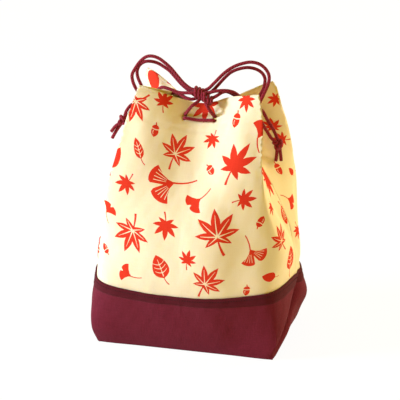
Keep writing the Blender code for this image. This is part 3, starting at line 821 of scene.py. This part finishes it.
# Handles, from a side seam up and over to the bow
leftHandleOuter = inMm(
    (-49, -3, 243), (-56, -6, 252), (-60.5, -8, 260), (-63.6, -6, 266.5), (-64.4, -4, 271.1),
    (-61.7, -2, 277.2), (-56.3, 0, 285), (-50.4, 0, 289.7), (-45.2, 0, 290.6), (-38.7, 0, 289.1),
    (-32.1, -1, 285.4), (-25.4, -2, 280.3), (-18.4, -4, 273.6), (-11.4, -6.5, 267.5),
    (-4.5, -8.5, 263.6))
leftHandleInner = inMm(
    (-48, 2, 244), (-54, 2, 253), (-57.5, 1, 261), (-60.6, 3, 266.5), (-61.7, 5, 272.1),
    (-59.4, 6, 278), (-54.4, 6, 281.9), (-48.5, 6, 282.9), (-41.4, 6, 281.8), (-33.4, 5, 278.2),
    (-28, 4, 275), (-22.3, 2, 270.2), (-15.1, -1, 264.4), (-7.9, -4.5, 260.5),
    (-3, -6.8, 258.4))
rightHandleOuter = inMm(
    (61, -4, 247), (66, -2, 257), (69.5, -1, 265), (71.7, 0, 271), (72.6, 1, 276.5),
    (71.7, 2, 281.2), (68.1, 2, 286.8), (61.8, 2, 290.9), (54.3, 1, 292.3), (47, 0, 290.9),
    (38.4, -2, 287.6), (31.8, -4, 283.3), (27.5, -6, 279.5), (24.0, -8, 275.8), (19, -9, 270.2))
rightHandleInner = inMm(
    (58, 4, 248), (62, 6, 256), (65.3, 7, 263), (66.8, 7, 268.8), (67, 7, 274.8),
    (64.2, 7, 279.8), (58.2, 7, 283.3), (50.3, 6, 284.7), (41, 4, 283), (34.2, 2, 279.8),
    (29.8, -0.5, 276), (26.5, -3, 272.4), (22.5, -5, 267.6), (18.5, -6.5, 263))

# Legs, from a side seam down through an end knot
rightLegFront = inMm((59.5, -1, 234.5), (64, 4, 230), (68, 9, 220.5), (72.5, 12, 211.5))
rightLegBack = inMm((58.5, 6, 239.5), (63, 9, 240.5), (69, 12.5, 229), (74.5, 15.5, 218))
leftLegFront = inMm((-48, -9.5, 238.5), (-55.5, -15, 244), (-61, -18, 245), (-65.5, -22, 239.5))
leftLegBack = inMm((-45, 7, 238.5), (-53, 4, 235), (-60, -6, 235), (-64.5, -15, 234))
rightTails = inMm((77.5, 18, 193), (76.5, 18.5, 184.5)), inMm((80.8, 19.5, 193), (81.5, 20.5, 184.5))
leftTails = inMm((-76.5, -24.5, 223), (-80.5, -25.5, 217.5)), inMm((-76, -22, 218), (-80.5, -22, 209.5))

# Ends of the two handles, from the bow across the mouth and back to it
leftLoop = inMm(
    (-5, -12.2, 260), (-15.3, -10.5, 259), (-24.5, -9.5, 261.2), (-32, -7.5, 261.8),
    (-37.5, -4.5, 258.5), (-40.5, -1.5, 254.5), (-40, 1, 251), (-36.5, 1.5, 250), (-31, 0.5, 251.5),
    (-25, -2, 254), (-19.5, -5.2, 256), (-14, -8.6, 256.2), (-8, -11.8, 254.6), (-4, -12.6, 254))
rightLoop = inMm(
    (22, -12.4, 264.2), (28, -11.4, 265), (34.5, -9.6, 264.6), (39.5, -7, 262.4), (42.5, -3.8, 259),
    (43.4, 0.2, 256), (41.4, 2.4, 254.8), (38, 1.6, 256.4), (34.5, -1.6, 259.6), (31, -5.6, 262.2),
    (27.2, -9.8, 262), (23, -13, 259.4))

# Front bight, pulled up from the two front holes to the bow
frontBight = inMm((0.2, -20, 249.6), (4.8, -17.2, 253), (8, -13.5, 256.5), (11, -13.5, 256.8),
                  (13.6, -17.6, 253.2), (16.4, -20.4, 249.8))


def makeCord(name, route, nodes):
    line, length = walk(route, cordSize["step"])
    piece = addPiece(name, tube(line), [cordBraid])
    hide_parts(*nodes)
    print(name, "is", round(length, 3), "m long")


# Overhand knots in the ends of the cords. lean: degrees, seen from the front.
endKnots = {
    "points": 96,
    "size": 1.5,               # mm
    "thickness": 1.9,
    "rightLean": -12,
    "leftLean": 35,
}


def makeEndKnot(name, centre, node, lean):
    # a thick three-lobed knot curve, seen with its crossings to the front
    t = np.linspace(0, 2 * math.pi, endKnots["points"] + 1)[:-1]
    across, up = np.sin(t) + 2 * np.sin(2 * t), np.cos(t) - 2 * np.cos(2 * t)
    curve = np.stack((across, -endKnots["thickness"] * np.sin(3 * t), up), -1)
    turn = np.array(Matrix.Rotation(math.radians(lean), 3, "Y"))
    line = (curve * endKnots["size"] * mm) @ turn.T + np.array(centre) * mm
    piece = addPiece(name, tube(line, closed=True), [cordBraid])
    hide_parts(node)
    return piece


# Cord wound round the strands: the bow's wrap, and the small turn that catches the front bight under it.
# length, deep and high: mm. lean: fall to the right, for a length of 1.
windings = {
    "bowKnot": dict(points=220, turns=2.6, start=0.6, length=8.6, deep=5.0, high=4.9, lean=0.30),
    "bowHitch": dict(points=200, turns=2.3, start=1.2, length=8.0, deep=3.6, high=3.8, lean=0.55),
}


def makeWinding(name, centre):
    winding = windings[name]
    t = np.linspace(0, 1, winding["points"])
    angle = 2 * math.pi * winding["turns"] * t + winding["start"]
    along = winding["length"] * t - winding["length"] / 2
    up = winding["high"] * np.sin(angle) - along * winding["lean"]
    line = np.stack((along, winding["deep"] * np.cos(angle), up), -1) + centre
    piece = addPiece(name, tube(line * mm), [cordBraid])
    return piece


def atBow(side, y, z):
    # where a strand goes into the bow's wrap or comes out of it
    return [np.array((drawcords["bow"][0] + side * drawcords["bowReach"], y, z)) * mm]


def makeCords():
    bow = makeWinding("bowKnot", drawcords["bow"])
    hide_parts("bow_wrap")
    hitch = makeWinding("bowHitch", drawcords["hitch"])
    rightKnot = makeEndKnot("rightKnot", drawcords["rightKnot"], "right_knot", endKnots["rightLean"])
    leftKnot = makeEndKnot("leftKnot", drawcords["leftKnot"], "left_knot", endKnots["leftLean"])
    makeCord("cordLeftHandle", outOfSlit(-3, 1, 1) + leftHandleOuter + atBow(-1, -9.0, 262.9)
             + atBow(1, -12.6, 262.0) + rightLoop + atBow(1, -12.5, 254.6) + atBow(-1, -7.6, 257.4)
             + leftHandleInner[::-1] + outOfSlit(9, -1, 1)[::-1],
             ("left_handle_outer", "left_handle_inner", "right_loop"))
    makeCord("cordRightHandle", outOfSlit(3, -1, 1) + rightHandleOuter + atBow(1, -9.4, 264.6)
             + atBow(-1, -13.0, 260.4) + leftLoop + atBow(-1, -12.5, 253.8) + atBow(1, -7.4, 258.8)
             + rightHandleInner[::-1] + outOfSlit(3, 1, 1)[::-1],
             ("right_handle_outer", "right_handle_inner", "left_loop"))
    clear = cordSize["look"] / 2 + drawcords["clear"]
    low = cordUp(0) + drawcords["holeRise"]
    across = [onLayer(skin + skinOut * clear, holeAround(share), low)
              for share in (0.62, 0.31, 0, -0.31, -0.62)]
    makeCord("cordFrontRun", outOfHole(1, 0) + across + outOfHole(-1, 0)[::-1], ("front_run",))
    makeCord("cordFrontBight", outOfHole(-1, 1) + frontBight + outOfHole(1, 1)[::-1],
             ("front_bight_left", "front_bight_right"))
    right = np.array(drawcords["rightKnot"])
    left = np.array(drawcords["leftKnot"])
    for name, route, knot, tail, nodes, pieces in (
            ("cordRightEndFront", outOfSlit(3, -1, 0) + rightLegFront, right + (-1.2, 0, 0), rightTails[0],
             ("right_leg_front", "right_tail_a"), [rightKnot]),
            ("cordRightEndBack", outOfSlit(3, 1, 0) + rightLegBack, right + (1.2, 1, 0), rightTails[1],
             ("right_leg_back", "right_tail_b"), []),
            ("cordLeftEndFront", outOfSlit(-3, 1, 0) + leftLegFront, left + (0.5, -1, 1), leftTails[0],
             ("left_leg_front", "left_tail_a"), [leftKnot]),
            ("cordLeftEndBack", outOfSlit(9, -1, 0) + leftLegBack, left + (0, 1, -1), leftTails[1],
             ("left_leg_back", "left_tail_b"), [])):
        makeCord(name, route + [knot * mm] + tail, nodes)
    print("cords made")


makeCords()

# Base

base = {
    "thickness": 0.0010,
    "bandDepth": 0.0100,       # folded band along the top edge
    "bandProud": 0.0005,
    "edgeRadius": 0.0022,      # of the fold round the bottom
    "stitchDrop": 0.0035,      # the row of stitches below the top edge
    "stitchLength": 0.0015,
    "stitchHeight": 0.0009,
    "stitchPitch": 0.0026,
    "bottomReach": 0.07,       # length of cloth from the edge of the bottom to its middle
}


def baseProfile():
    # up, depth inside the skin, and how far in towards the middle of the bottom
    radius = base["edgeRadius"]
    thick = base["thickness"]
    band = seamUp - base["bandDepth"]
    proud = -base["bandProud"]
    steps = [(0.0, radius, share) for share in np.linspace(0, 1, 9)[:-1]]
    for a in np.radians(np.linspace(0, 90, 7)):
        steps.append((radius * (1 - math.cos(a)), radius * (1 - math.sin(a)), 1.0))
    steps += [(up, 0.0, 1.0) for up in np.linspace(radius + 0.002, band - 0.0006, 22)]
    steps += [(band, proud * 0.6, 1.0), (band + 0.0005, proud, 1.0)]
    steps += [(up, proud, 1.0) for up in np.linspace(band + 0.0015, seamUp - 0.0004, 6)]
    steps += [(seamUp + 0.0001, proud * 0.5, 1.0), (seamUp + 0.0002, thick * 0.5, 1.0),
              (seamUp, thick, 1.0)]
    steps += [(up, thick, 1.0) for up in np.linspace(seamUp - 0.002, radius + 0.002, 12)]
    for a in np.radians(np.linspace(90, 0, 5)):
        steps.append((thick + radius * (1 - math.cos(a)), thick + radius * (1 - math.sin(a)) * 0.8, 1.0))
    steps += [(thick, thick + radius * 0.8, share) for share in np.linspace(1, 0, 7)[1:]]
    return steps


def lengthRound(ring):
    # the length round a closed line, up to each of its points and back at the first
    gaps = np.linalg.norm(np.diff(np.vstack([ring, ring[:1]]), axis=0), axis=1)
    return np.concatenate([[0], np.cumsum(gaps)])


def makeBase():
    profile = np.array(baseProfile())
    inner = layer(base["thickness"])
    columns = 12 * perSpan
    middle = skin[0].mean(axis=0)
    moves = np.abs(np.diff(profile, axis=0)) @ (1, 1, base["bottomReach"])
    lengths = np.concatenate([[0], np.cumsum(moves)])
    band = np.flatnonzero(profile[:, 1] < 0)
    bandFrom, bandTo = lengths[band[0] - 1], lengths[band[-1] + 3]
    arc = lengthRound(skin[8])

    def place(u, v):
        around = u * 12
        k = np.rint(v * (len(profile) - 1)).astype(int)
        up, depth, share = profile[k].T
        outer = onLayer(skin, around, up) - onLayer(skinOut, around, up) * depth[:, None]
        deep = (k > band[-1] + 1) & (depth <= base["thickness"] * 1.01)
        points = np.where(deep[:, None], onLayer(inner, around, up), outer)
        points = np.where((share < 1)[:, None], middle + (points - middle) * share[:, None], points)
        points[:, 2] = np.where(up <= base["edgeRadius"] * 1.5 + base["thickness"], up, points[:, 2])
        return points

    def flat(u, v):
        k = np.rint(v * (len(profile) - 1)).astype(int)
        return np.stack((np.interp(u * columns, np.arange(columns + 1), arc), lengths[k]), -1)

    bm = gridPiece(columns, len(profile) - 1, place, flat)
    bmesh.ops.remove_doubles(bm, verts=bm.verts, dist=2e-6)
    bmesh.ops.recalc_face_normals(bm, faces=bm.faces)
    uv = bm.loops.layers.uv["UVMap"]
    # faces of the band along the top edge take the darker maroon, which is painted shade
    for face in bm.faces:
        along = sum(loop[uv].uv.y for loop in face.loops) / len(face.loops)
        face.material_index = 1 if bandFrom < along < bandTo else 0
    piece = addPiece("baseCloth", bm, [maroonCloth, shadedMaroonBand])
    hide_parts("base")


def makeStitches():
    # a row of short thread stitches, each a slim rounded bead that sinks in at its ends
    up = seamUp - base["stitchDrop"]
    outside = skin + skinOut * base["bandProud"]
    arc = lengthRound(onLayer(skin, arounds, np.full(len(arounds), up)))
    size = Matrix.Diagonal((base["stitchLength"], base["stitchHeight"], base["stitchHeight"], 1))
    count = int(arc[-1] / base["stitchPitch"])
    bm = bmesh.new()
    for k in range(count):
        start = arc[-1] * k / count
        ends = np.interp([start, start + base["stitchLength"]], arc, np.arange(len(arc))) / perSpan
        a, b = [Vector(onLayer(outside, end, up)) for end in ends]
        outward = Vector(onLayer(skinOut, ends[0], up))
        along = (b - a).normalized()
        across = outward.cross(along).normalized()
        turn = Matrix((along, across, across.cross(along) * -1)).transposed().to_4x4()
        made = bmesh.ops.create_icosphere(bm, subdivisions=1, radius=0.5)
        bmesh.ops.transform(bm, matrix=Matrix.Translation((a + b) / 2) @ turn @ size, verts=made["verts"])
    uv = bm.loops.layers.uv.new("UVMap")
    for face in bm.faces:
        for loop in face.loops:
            loop[uv].uv = (loop.vert.co.x, loop.vert.co.z)
    bmesh.ops.recalc_face_normals(bm, faces=bm.faces)
    piece = addPiece("bandStitches", bm, [darkThread])


makeBase()
makeStitches()
print("base made")

# Print: leaves drawn as outlines on the flat cloth, in units of the leaf's own size, tip up


def bend(start, control, end, count=4):
    t = np.linspace(0, 1, count + 1)[1:, None]
    start, control, end = [np.array(p, float) for p in (start, control, end)]
    return list((1 - t) ** 2 * start + 2 * t * (1 - t) * control + t ** 2 * end)


def towards(angle, length):
    # a point at an angle in degrees, anticlockwise from the tip
    a = math.radians(angle)
    return np.array((-math.sin(a) * length, math.cos(a) * length))


def outlined(start, *curves):
    # a closed outline through curves, each with its control point, its end and its count of points
    outline = [np.array(start, float)]
    for control, end, count in curves:
        outline += bend(outline[-1], control, end, count)
    return outline[:-1]


def ribbon(points, widths):
    # a thin shape along a bent line
    line = np.array([np.array(points[0], float)] + bend(*points, count=5))
    ahead = np.gradient(line, axis=0)
    ahead /= np.linalg.norm(ahead, axis=1)[:, None]
    across = np.stack((-ahead[:, 1], ahead[:, 0]), -1)
    half = np.linspace(widths[0], widths[1], len(line))[:, None] / 2
    return list(line + across * half) + list((line - across * half)[::-1])


def mapleLeaf(veined):
    # seven pointed lobes that join at nearly half their length
    lobes = [(125, 0.56), (82, 0.78), (41, 0.93), (0, 1.0), (-41, 0.93), (-82, 0.78), (-125, 0.56)]
    foot = (0.0, -0.16)
    curves = []
    for i, (angle, length) in enumerate(lobes):
        notch = foot
        if i < len(lobes) - 1:
            nextAngle, nextLength = lobes[i + 1]
            notch = towards((angle + nextAngle) / 2, 0.46 * min(length, nextLength) + 0.03)
        curves += [(towards(angle + 17, length * 0.66), towards(angle, length), 3),
                   (towards(angle - 17, length * 0.66), notch, 3)]
    stem = ribbon(((0.0, -0.08), (0.03, -0.42), (0.14, -0.70)), (0.05, 0.10))
    veins = [ribbon((towards(angle, 0.01), towards(angle + 2, length * 0.4), towards(angle, length * 0.76)),
                    (0.05, 0.012)) for angle, length in lobes]
    return [outlined(foot, *curves), stem], veins if veined else []


def ginkgoLeaf(veined):
    # a fan with a split in the middle, deeper in the large veined leaves
    half, depth, wide = (62, 0.58, 6) if veined else (54, 0.26, 4)
    foot = (0.0, -0.03)
    edge = []
    for angle in np.linspace(half, -half, 23):
        split = depth * math.exp(-((angle + 2) / wide) ** 2)
        bulge = 0.10 * math.cos(math.radians((abs(angle) - half / 2) * 2.4))
        edge.append(towards(angle, 0.90 + bulge - split))
    outline = outlined(foot, (towards(half - 30, 0.40), edge[0], 3)) + edge
    outline += bend(edge[-1], towards(-half + 30, 0.40), foot, 3)[:-1]
    stem = ribbon(((0.0, 0.03), (-0.02, -0.45), (0.18, -0.88)), (0.08, 0.06))
    veins = [ribbon((towards(angle * 0.9, 0.30), towards(angle * 0.97, 0.56), towards(angle, 0.80)),
                    (0.016, 0.032)) for angle in (51, 39, 28, 17, -21, -32, -43, -54)]
    return [outline, stem], veins if veined else []


def acornShape(veined):
    # the nut in its cap, with a bare line of shine
    nut = outlined((-0.46, -0.06), ((-0.66, 0.60), (0.0, 0.98), 4), ((0.66, 0.60), (0.46, -0.06), 4),
                   ((0.0, 0.10), (-0.46, -0.06), 4))
    cap = outlined((-0.52, -0.18), ((-0.46, -0.60), (0.0, -0.68), 3), ((0.46, -0.60), (0.52, -0.18), 3),
                   ((0.0, -0.02), (-0.52, -0.18), 4))
    stem = ribbon(((0.0, -0.62), (0.03, -0.80), (0.10, -0.98)), (0.18, 0.14))
    shine = ribbon(((0.20, 0.14), (0.30, 0.36), (0.14, 0.64)), (0.10, 0.05))
    return [nut, cap, stem], [shine]


def ovalLeaf(veined, width=0.74):
    outline = outlined((0.0, -0.9), ((-width * 1.15, -0.62), (-width * 0.92, 0.0), 4),
                       ((-width * 0.75, 0.6), (0.0, 1.0), 4), ((width * 0.75, 0.6), (width * 0.92, 0.0), 4),
                       ((width * 1.15, -0.62), (0.0, -0.9), 4))
    stem = ribbon(((0.0, -0.85), (0.0, -1.2), (0.18, -1.5)), (0.07, 0.10))
    veins = [ribbon(((0.0, -0.75), (0.03, 0.0), (0.0, 0.62)), (0.075, 0.03))]
    veins += [ribbon(((0.0, height), (side * width * 0.4, height + 0.04),
                      (side * width * 0.68, height + 0.24)), (0.06, 0.03))
              for height in (-0.45, -0.12, 0.20) for side in (-1, 1)]
    return [outline, stem], veins if veined else []


def slimLeaf(veined):
    return ovalLeaf(veined, 0.46)


shapes = {"maple": mapleLeaf, "ginkgo": ginkgoLeaf, "acorn": acornShape, "oval": ovalLeaf, "slim": slimLeaf}

# Leaves seen in the picture: the kind, the pixel of the leaf's middle or of the joint of its stem, across
# and down, its size in mm, its turn in degrees anticlockwise from tip up, whether it is veined, and how
# far its stem is turned on from straight.
pictureLeaves = [
    ("maple", 135.2, 101.3, 21, 172, True, -54),
    ("maple", 164.2, 103, 13.5, 2, False),
    ("maple", 206, 103.5, 19, 182, False),
    ("maple", 245.6, 97.4, 13, 180, False),
    ("acorn", 235, 118.5, 8.2, 165, True),
    ("acorn", 155.5, 130, 7.4, 176, True),
    ("ginkgo", 256.6, 139.5, 17.5, -32, False, 37),
    ("slim", 136.6, 149, 11, 27, True),
    ("maple", 176.2, 154.6, 22, -23, True),
    ("maple", 212.3, 137.8, 12, 158, False),
    ("maple", 232, 167.2, 26, -32, False),
    ("acorn", 210, 168.5, 7.2, -138, True),
    ("maple", 126.5, 183, 14.5, 146, False),
    ("ginkgo", 173.2, 182, 26, 112, True, -18),
    ("ginkgo", 199.6, 198, 16, 132, False),
    ("maple", 241.3, 200.5, 14.5, -88, False),
    ("ginkgo", 105.0, 212.3, 12.5, -39, False, 43),
    ("maple", 131.5, 231, 25, 160, True),
    ("maple", 165.5, 225, 17.5, 178, False),
    ("acorn", 104.6, 249.2, 6.6, 42, True),
    ("ginkgo", 130.7, 276.4, 13, 68, False, 15),
    ("oval", 160, 268.6, 12.6, 24, True),
    ("maple", 186.3, 261.5, 12.5, -12, False),
    ("maple", 216.6, 238, 29, 10, True),
    ("maple", 204.4, 285.3, 22, -37, True),
    ("acorn", 245.5, 290.3, 6.6, 172, True),
    ("ginkgo", 249.2, 250.6, 17.5, -149, True, -22),
    ("oval", 270.4, 277.6, 8.2, 70, False),
    ("acorn", 261.0, 223.5, 7.0, -28, True),
    ("maple", 283, 241, 18, 20, True),
    ("oval", 291.3, 258, 15, -8, True),
    ("slim", 285.5, 215, 11, -163, True),
    ("ginkgo", 289, 198, 12.5, -140, False),
    ("maple", 271.7, 205, 10, 180, False),
    ("maple", 298.3, 229, 12, 170, False),
    ("maple", 266.5, 179, 21, -115, False),
    ("acorn", 279.8, 168, 7.5, 178, True),
    ("maple", 274, 127.5, 13.5, -20, False),
    ("maple", 284, 140, 13, 60, False),
    ("maple", 277, 99.5, 11, 100, False),
    ("oval", 292.5, 171, 5, 20, False),
    ("slim", 113, 158, 12, -15, False),
    ("oval", 153, 82, 12, 200, False),
]

# The rest of the cloth repeats the same leaves
scatter = {
    "kinds": (("maple", 21, True), ("acorn", 7, True), ("maple", 12.5, False), ("ginkgo", 19, True),
              ("oval", 11.5, True), ("maple", 17, False), ("ginkgo", 14, False), ("maple", 25, True)),
    "gap": 3.0,                # mm between two leaves
    "tries": 500,
    "seed": 11,
    "handPlaced": (94, 299),   # pixels across: what is seen between them has the leaves above only
}


def panelTable(firstSeam):
    # arc length along every row of a panel, from its middle, in mm
    columns = np.arange(firstSeam * perSpan, (firstSeam + 6) * perSpan + 1)
    grid = upperLayer[:, columns % (12 * perSpan)]
    gaps = np.linalg.norm(np.diff(grid, axis=1), axis=2)
    arc = np.concatenate([np.zeros((len(grid), 1)), np.cumsum(gaps, axis=1)], axis=1)
    return columns / perSpan, (arc - arc[:, 3 * perSpan][:, None]) / mm


def foldedUp(y):
    # cloth length up for a place on the flat cloth, which turns back down past the mouth
    return np.where(y <= mouthUp / mm, y, 2 * mouthUp / mm - y) * mm


def tableRow(table, up):
    row = float(np.clip(up / (gridUps[1] - gridUps[0]), 0, len(gridUps) - 1.001))
    low = int(row)
    return table[low] * (1 - (row - low)) + table[low + 1] * (row - low)


def leavesOn(firstSeam):
    # leaves for one panel, each with its place on the flat cloth
    panelArounds, table = panelTable(firstSeam)
    columns = np.rint(panelArounds * perSpan).astype(int) % (12 * perSpan)
    pixels, depths = inPicture(upperLayer)
    back = viewAxes()[2]
    facing = outwards(upperLayer) @ back > 0.03
    leaves = []
    for kind, across, down, size, turn, veined, *stem in pictureLeaves:
        away = np.linalg.norm(pixels - (across, down), axis=2) + np.where(facing, 0, 1000)
        near = away < max(away.min() + 1.0, 1.2)
        row, column = np.unravel_index(np.argmin(np.where(near, depths, 1e9)), depths.shape)
        spot = np.flatnonzero(columns == column)
        if len(spot) and gridUps[row] > seamUp - 0.02:
            leaves.append(dict(kind=kind, size=size, veined=veined, turn=turn, stem=sum(stem),
                               x=table[row, spot[0]], y=gridUps[row] / mm))
    chance = np.random.default_rng(scatter["seed"] + firstSeam)
    for attempt in range(scatter["tries"]):
        kind, size, veined = scatter["kinds"][int(chance.integers(len(scatter["kinds"])))]
        y = chance.uniform(seamUp / mm + 4, (mouthUp + cloth["hemDepth"]) / mm - 4)
        up = float(foldedUp(y))
        edges = tableRow(table, up)
        x = chance.uniform(edges[0], edges[-1])
        turn = chance.uniform(0, 360)
        apart = [math.hypot(x - other["x"], y - other["y"]) - (size + other["size"]) * 0.80
                 for other in leaves]
        around = float(np.interp(x, edges, panelArounds))
        column = int(around * perSpan) % (12 * perSpan)
        row = min(int(up / (gridUps[1] - gridUps[0])), len(gridUps) - 1)
        left, right = scatter["handPlaced"]
        seen = (y < mouthUp / mm and facing[row, column]
                and left < inPicture(onLayer(upperLayer, around, up))[0][0] < right)
        if not seen and min(apart, default=1) > scatter["gap"]:
            leaves.append(dict(kind=kind, size=size, veined=veined, turn=turn, stem=0, x=x, y=y))
    return leaves


def turnedOn(degrees):
    a = math.radians(degrees)
    return np.array(((math.cos(a), math.sin(a)), (-math.sin(a), math.cos(a))))


def drawn(leaf):
    # the outlines of a leaf on the flat cloth, in mm
    ink, bare = shapes[leaf["kind"]](leaf["veined"])
    ink = ink[:-1] + [np.array(ink[-1]) @ turnedOn(leaf["stem"])]
    turn = turnedOn(leaf["turn"]) * leaf["size"]
    return [[np.array(outline) @ turn + (leaf["x"], leaf["y"]) for outline in group]
            for group in (ink, bare)]


def inside(points, outline):
    # which points lie inside a closed outline
    low, high = outline.min(axis=0), outline.max(axis=0)
    result = np.zeros(len(points), bool)
    near = np.flatnonzero(((points >= low) & (points <= high)).all(axis=1))
    if len(near) == 0:
        return result
    p = points[near][:, None]
    a, b = outline[None], np.roll(outline, -1, axis=0)[None]
    straddles = (a[..., 1] > p[..., 1]) != (b[..., 1] > p[..., 1])
    rise = np.where(b[..., 1] == a[..., 1], 1e-12, b[..., 1] - a[..., 1])
    crossing = a[..., 0] + (p[..., 1] - a[..., 1]) / rise * (b[..., 0] - a[..., 0])
    result[near] = (straddles & (p[..., 0] < crossing)).sum(axis=1) % 2 == 1
    return result


printed = {
    "step": 2.6,               # mm between the points of the plain cloth
    "clear": 0.9,              # mm kept free round an outline
    "seamInset": 0.12,         # mm from the middle of a side seam to the edge of a panel
    "turn": 1.2,               # mm of cloth on each side of the mouth that turn over into the hem
    "turnRows": (-1.1, -0.55, 0.0, 0.55, 1.1),
    "turnClear": 2.2,          # mm on each side of the mouth with no other rows
    "holeSides": 16,
}


def panelEdge(table, low, high):
    # the cut of a panel: up its right edge and down its left, with the seams open where the cords leave
    right, left = [], []
    for y in np.append(np.arange(low, high + 0.01, printed["step"]), high):
        edges = tableRow(table, float(foldedUp(y)))
        away = (y - cordsUp / mm) / (drawcords["slitHeight"] / mm / 2)
        notch = drawcords["slitLength"] / mm / 2 * (abs(away) < 1) * math.sqrt(max(1 - away * away, 0))
        right.append((edges[-1] - printed["seamInset"] - notch, y))
        left.append((edges[0] + printed["seamInset"] + notch, y))
    corners = np.array(right + left[::-1])
    outline = []
    for a, b in zip(corners, np.roll(corners, -1, axis=0)):
        steps = max(1, int(np.linalg.norm(b - a) / printed["step"]))
        outline += [a + (b - a) * i / steps for i in range(steps)]
    return np.array(outline)


def holeEdge(x, y):
    angles = np.linspace(0, 2 * math.pi, printed["holeSides"] + 1)[:-1]
    return np.stack((x + drawcords["holeLength"] / mm / 2 * np.cos(angles),
                     y + drawcords["holeHeight"] / mm / 2 * np.sin(angles)), -1)


def plainPoints(drawnPoints, border, low, high):
    # points between the drawn ones, kept clear of them
    step = printed["step"]
    mouth = mouthUp / mm
    cell = {}
    for x, y in drawnPoints:
        cell.setdefault((int(x // 2), int(y // 2)), []).append((x, y))
    # rows a little closer than their points, so that the faces come out even
    levels = [y for y in np.arange(low + step / 2, high, step * 0.87)
              if abs(y - mouth) > printed["turnClear"]]
    levels += [mouth + d for d in printed["turnRows"]]
    wide = np.abs(border[:, 0]).max()
    points = []
    for k, y in enumerate(levels):
        for x in np.arange(-wide, wide, step) + (k % 2) * step / 2:
            near = [q for i in (-1, 0, 1) for j in (-1, 0, 1)
                    for q in cell.get((int(x // 2) + i, int(y // 2) + j), ())]
            if all((x - a) ** 2 + (y - b) ** 2 > printed["clear"] ** 2 for a, b in near):
                points.append((x, y))
    points = np.array(points)
    return points[inside(points, border)]


def onStandingCloth(flat, panelArounds, table):
    # places of the flat points on the standing cloth, over the mouth and down into the hem
    up = foldedUp(flat[:, 1])
    past = np.clip((flat[:, 1] - mouthUp / mm) / printed["turn"], -1, 1)
    share = ((1 + np.sin(past * math.pi / 2)) / 2)[:, None]
    top = mouthUp - printed["turn"] * mm + cloth["hemRadius"] * np.cos(past * math.pi / 2)
    up = np.where(np.abs(past) < 1, top, up)
    around = np.array([np.interp(x, tableRow(table, u), panelArounds) for x, u in zip(flat[:, 0], up)])
    return onLayer(upperLayer, around, up) * (1 - share) + onLayer(hemLayer, around, up) * share


def makeUpper(name, firstSeam, node, holes):
    panelArounds, table = panelTable(firstSeam)
    low = (seamUp - cloth["lap"]) / mm
    high = (mouthUp + cloth["hemDepth"]) / mm
    border = panelEdge(table, low, high)
    leaves = [drawn(leaf) for leaf in leavesOn(firstSeam)]
    ink = [outline for leaf in leaves for outline in leaf[0]]
    bare = [outline for leaf in leaves for outline in leaf[1]]
    cuts = [holeEdge(x, y) for x, y in holes]
    points, edges = [], []
    for outline in [border] + ink + bare + cuts:
        start = len(points)
        points += [tuple(p) for p in outline]
        edges += [(start + i, start + (i + 1) % len(outline)) for i in range(len(outline))]
    # the corner folds are lines of the mesh too
    for corner in (firstSeam + 1, firstSeam + 5):
        start = len(points)
        for y in np.arange(low + 0.7, high, printed["step"]):
            row = tableRow(table, float(foldedUp(y)))
            points.append((float(np.interp(corner, panelArounds, row)), y))
        edges += [(i, i + 1) for i in range(start, len(points) - 1)]
    points += [tuple(p) for p in plainPoints(points, border, low, high)]
    made = delaunay_2d_cdt([Vector(p) for p in points], edges, [], 0, 1e-4)
    verts, faces = np.array(made[0]), list(made[2])
    middles = np.array([verts[list(face)].mean(axis=0) for face in faces])
    good = inside(middles, border)
    for cut in cuts:
        good &= ~inside(middles, cut)
    isInk = np.zeros(len(faces), bool)
    for outline in ink:
        isInk |= inside(middles, np.array(outline))
    for outline in bare:
        isInk &= ~inside(middles, np.array(outline))
    bm = bmesh.new()
    corners = [bm.verts.new(p) for p in onStandingCloth(verts, panelArounds, table)]
    uv = bm.loops.layers.uv.new("UVMap")
    for face, fine, inked in zip(faces, good, isInk):
        if fine and len(set(face)) == len(face):
            new = bm.faces.new([corners[i] for i in face])
            new.material_index = 1 if inked else 0
            for loop, i in zip(new.loops, face):
                loop[uv].uv = (verts[i][0] * mm, verts[i][1] * mm)
    bmesh.ops.delete(bm, geom=[v for v in bm.verts if not v.link_faces], context="VERTS")
    piece = addPiece(name, bm, [creamPrint, redPrint, shadedClothReverse])
    thicken = piece.modifiers.new("thickness", "SOLIDIFY")
    thicken.thickness = cloth["upperThickness"]
    thicken.offset = -1
    # the inner face of the cloth takes the amber reverse, which is painted shade
    thicken.material_offset = 2
    thicken.material_offset_rim = 0
    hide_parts(node)


holeX = [(drawcords["holeShift"] + side * drawcords["holeSpacing"] / 2) / mm for side in (-1, 1)]
holeY = (cordsUp + drawcords["holeRise"]) / mm
makeUpper("upperFront", -3, "upper_front", [(x, holeY) for x in holeX])
makeUpper("upperBack", 3, "upper_back", [])
print("upper cloth made")
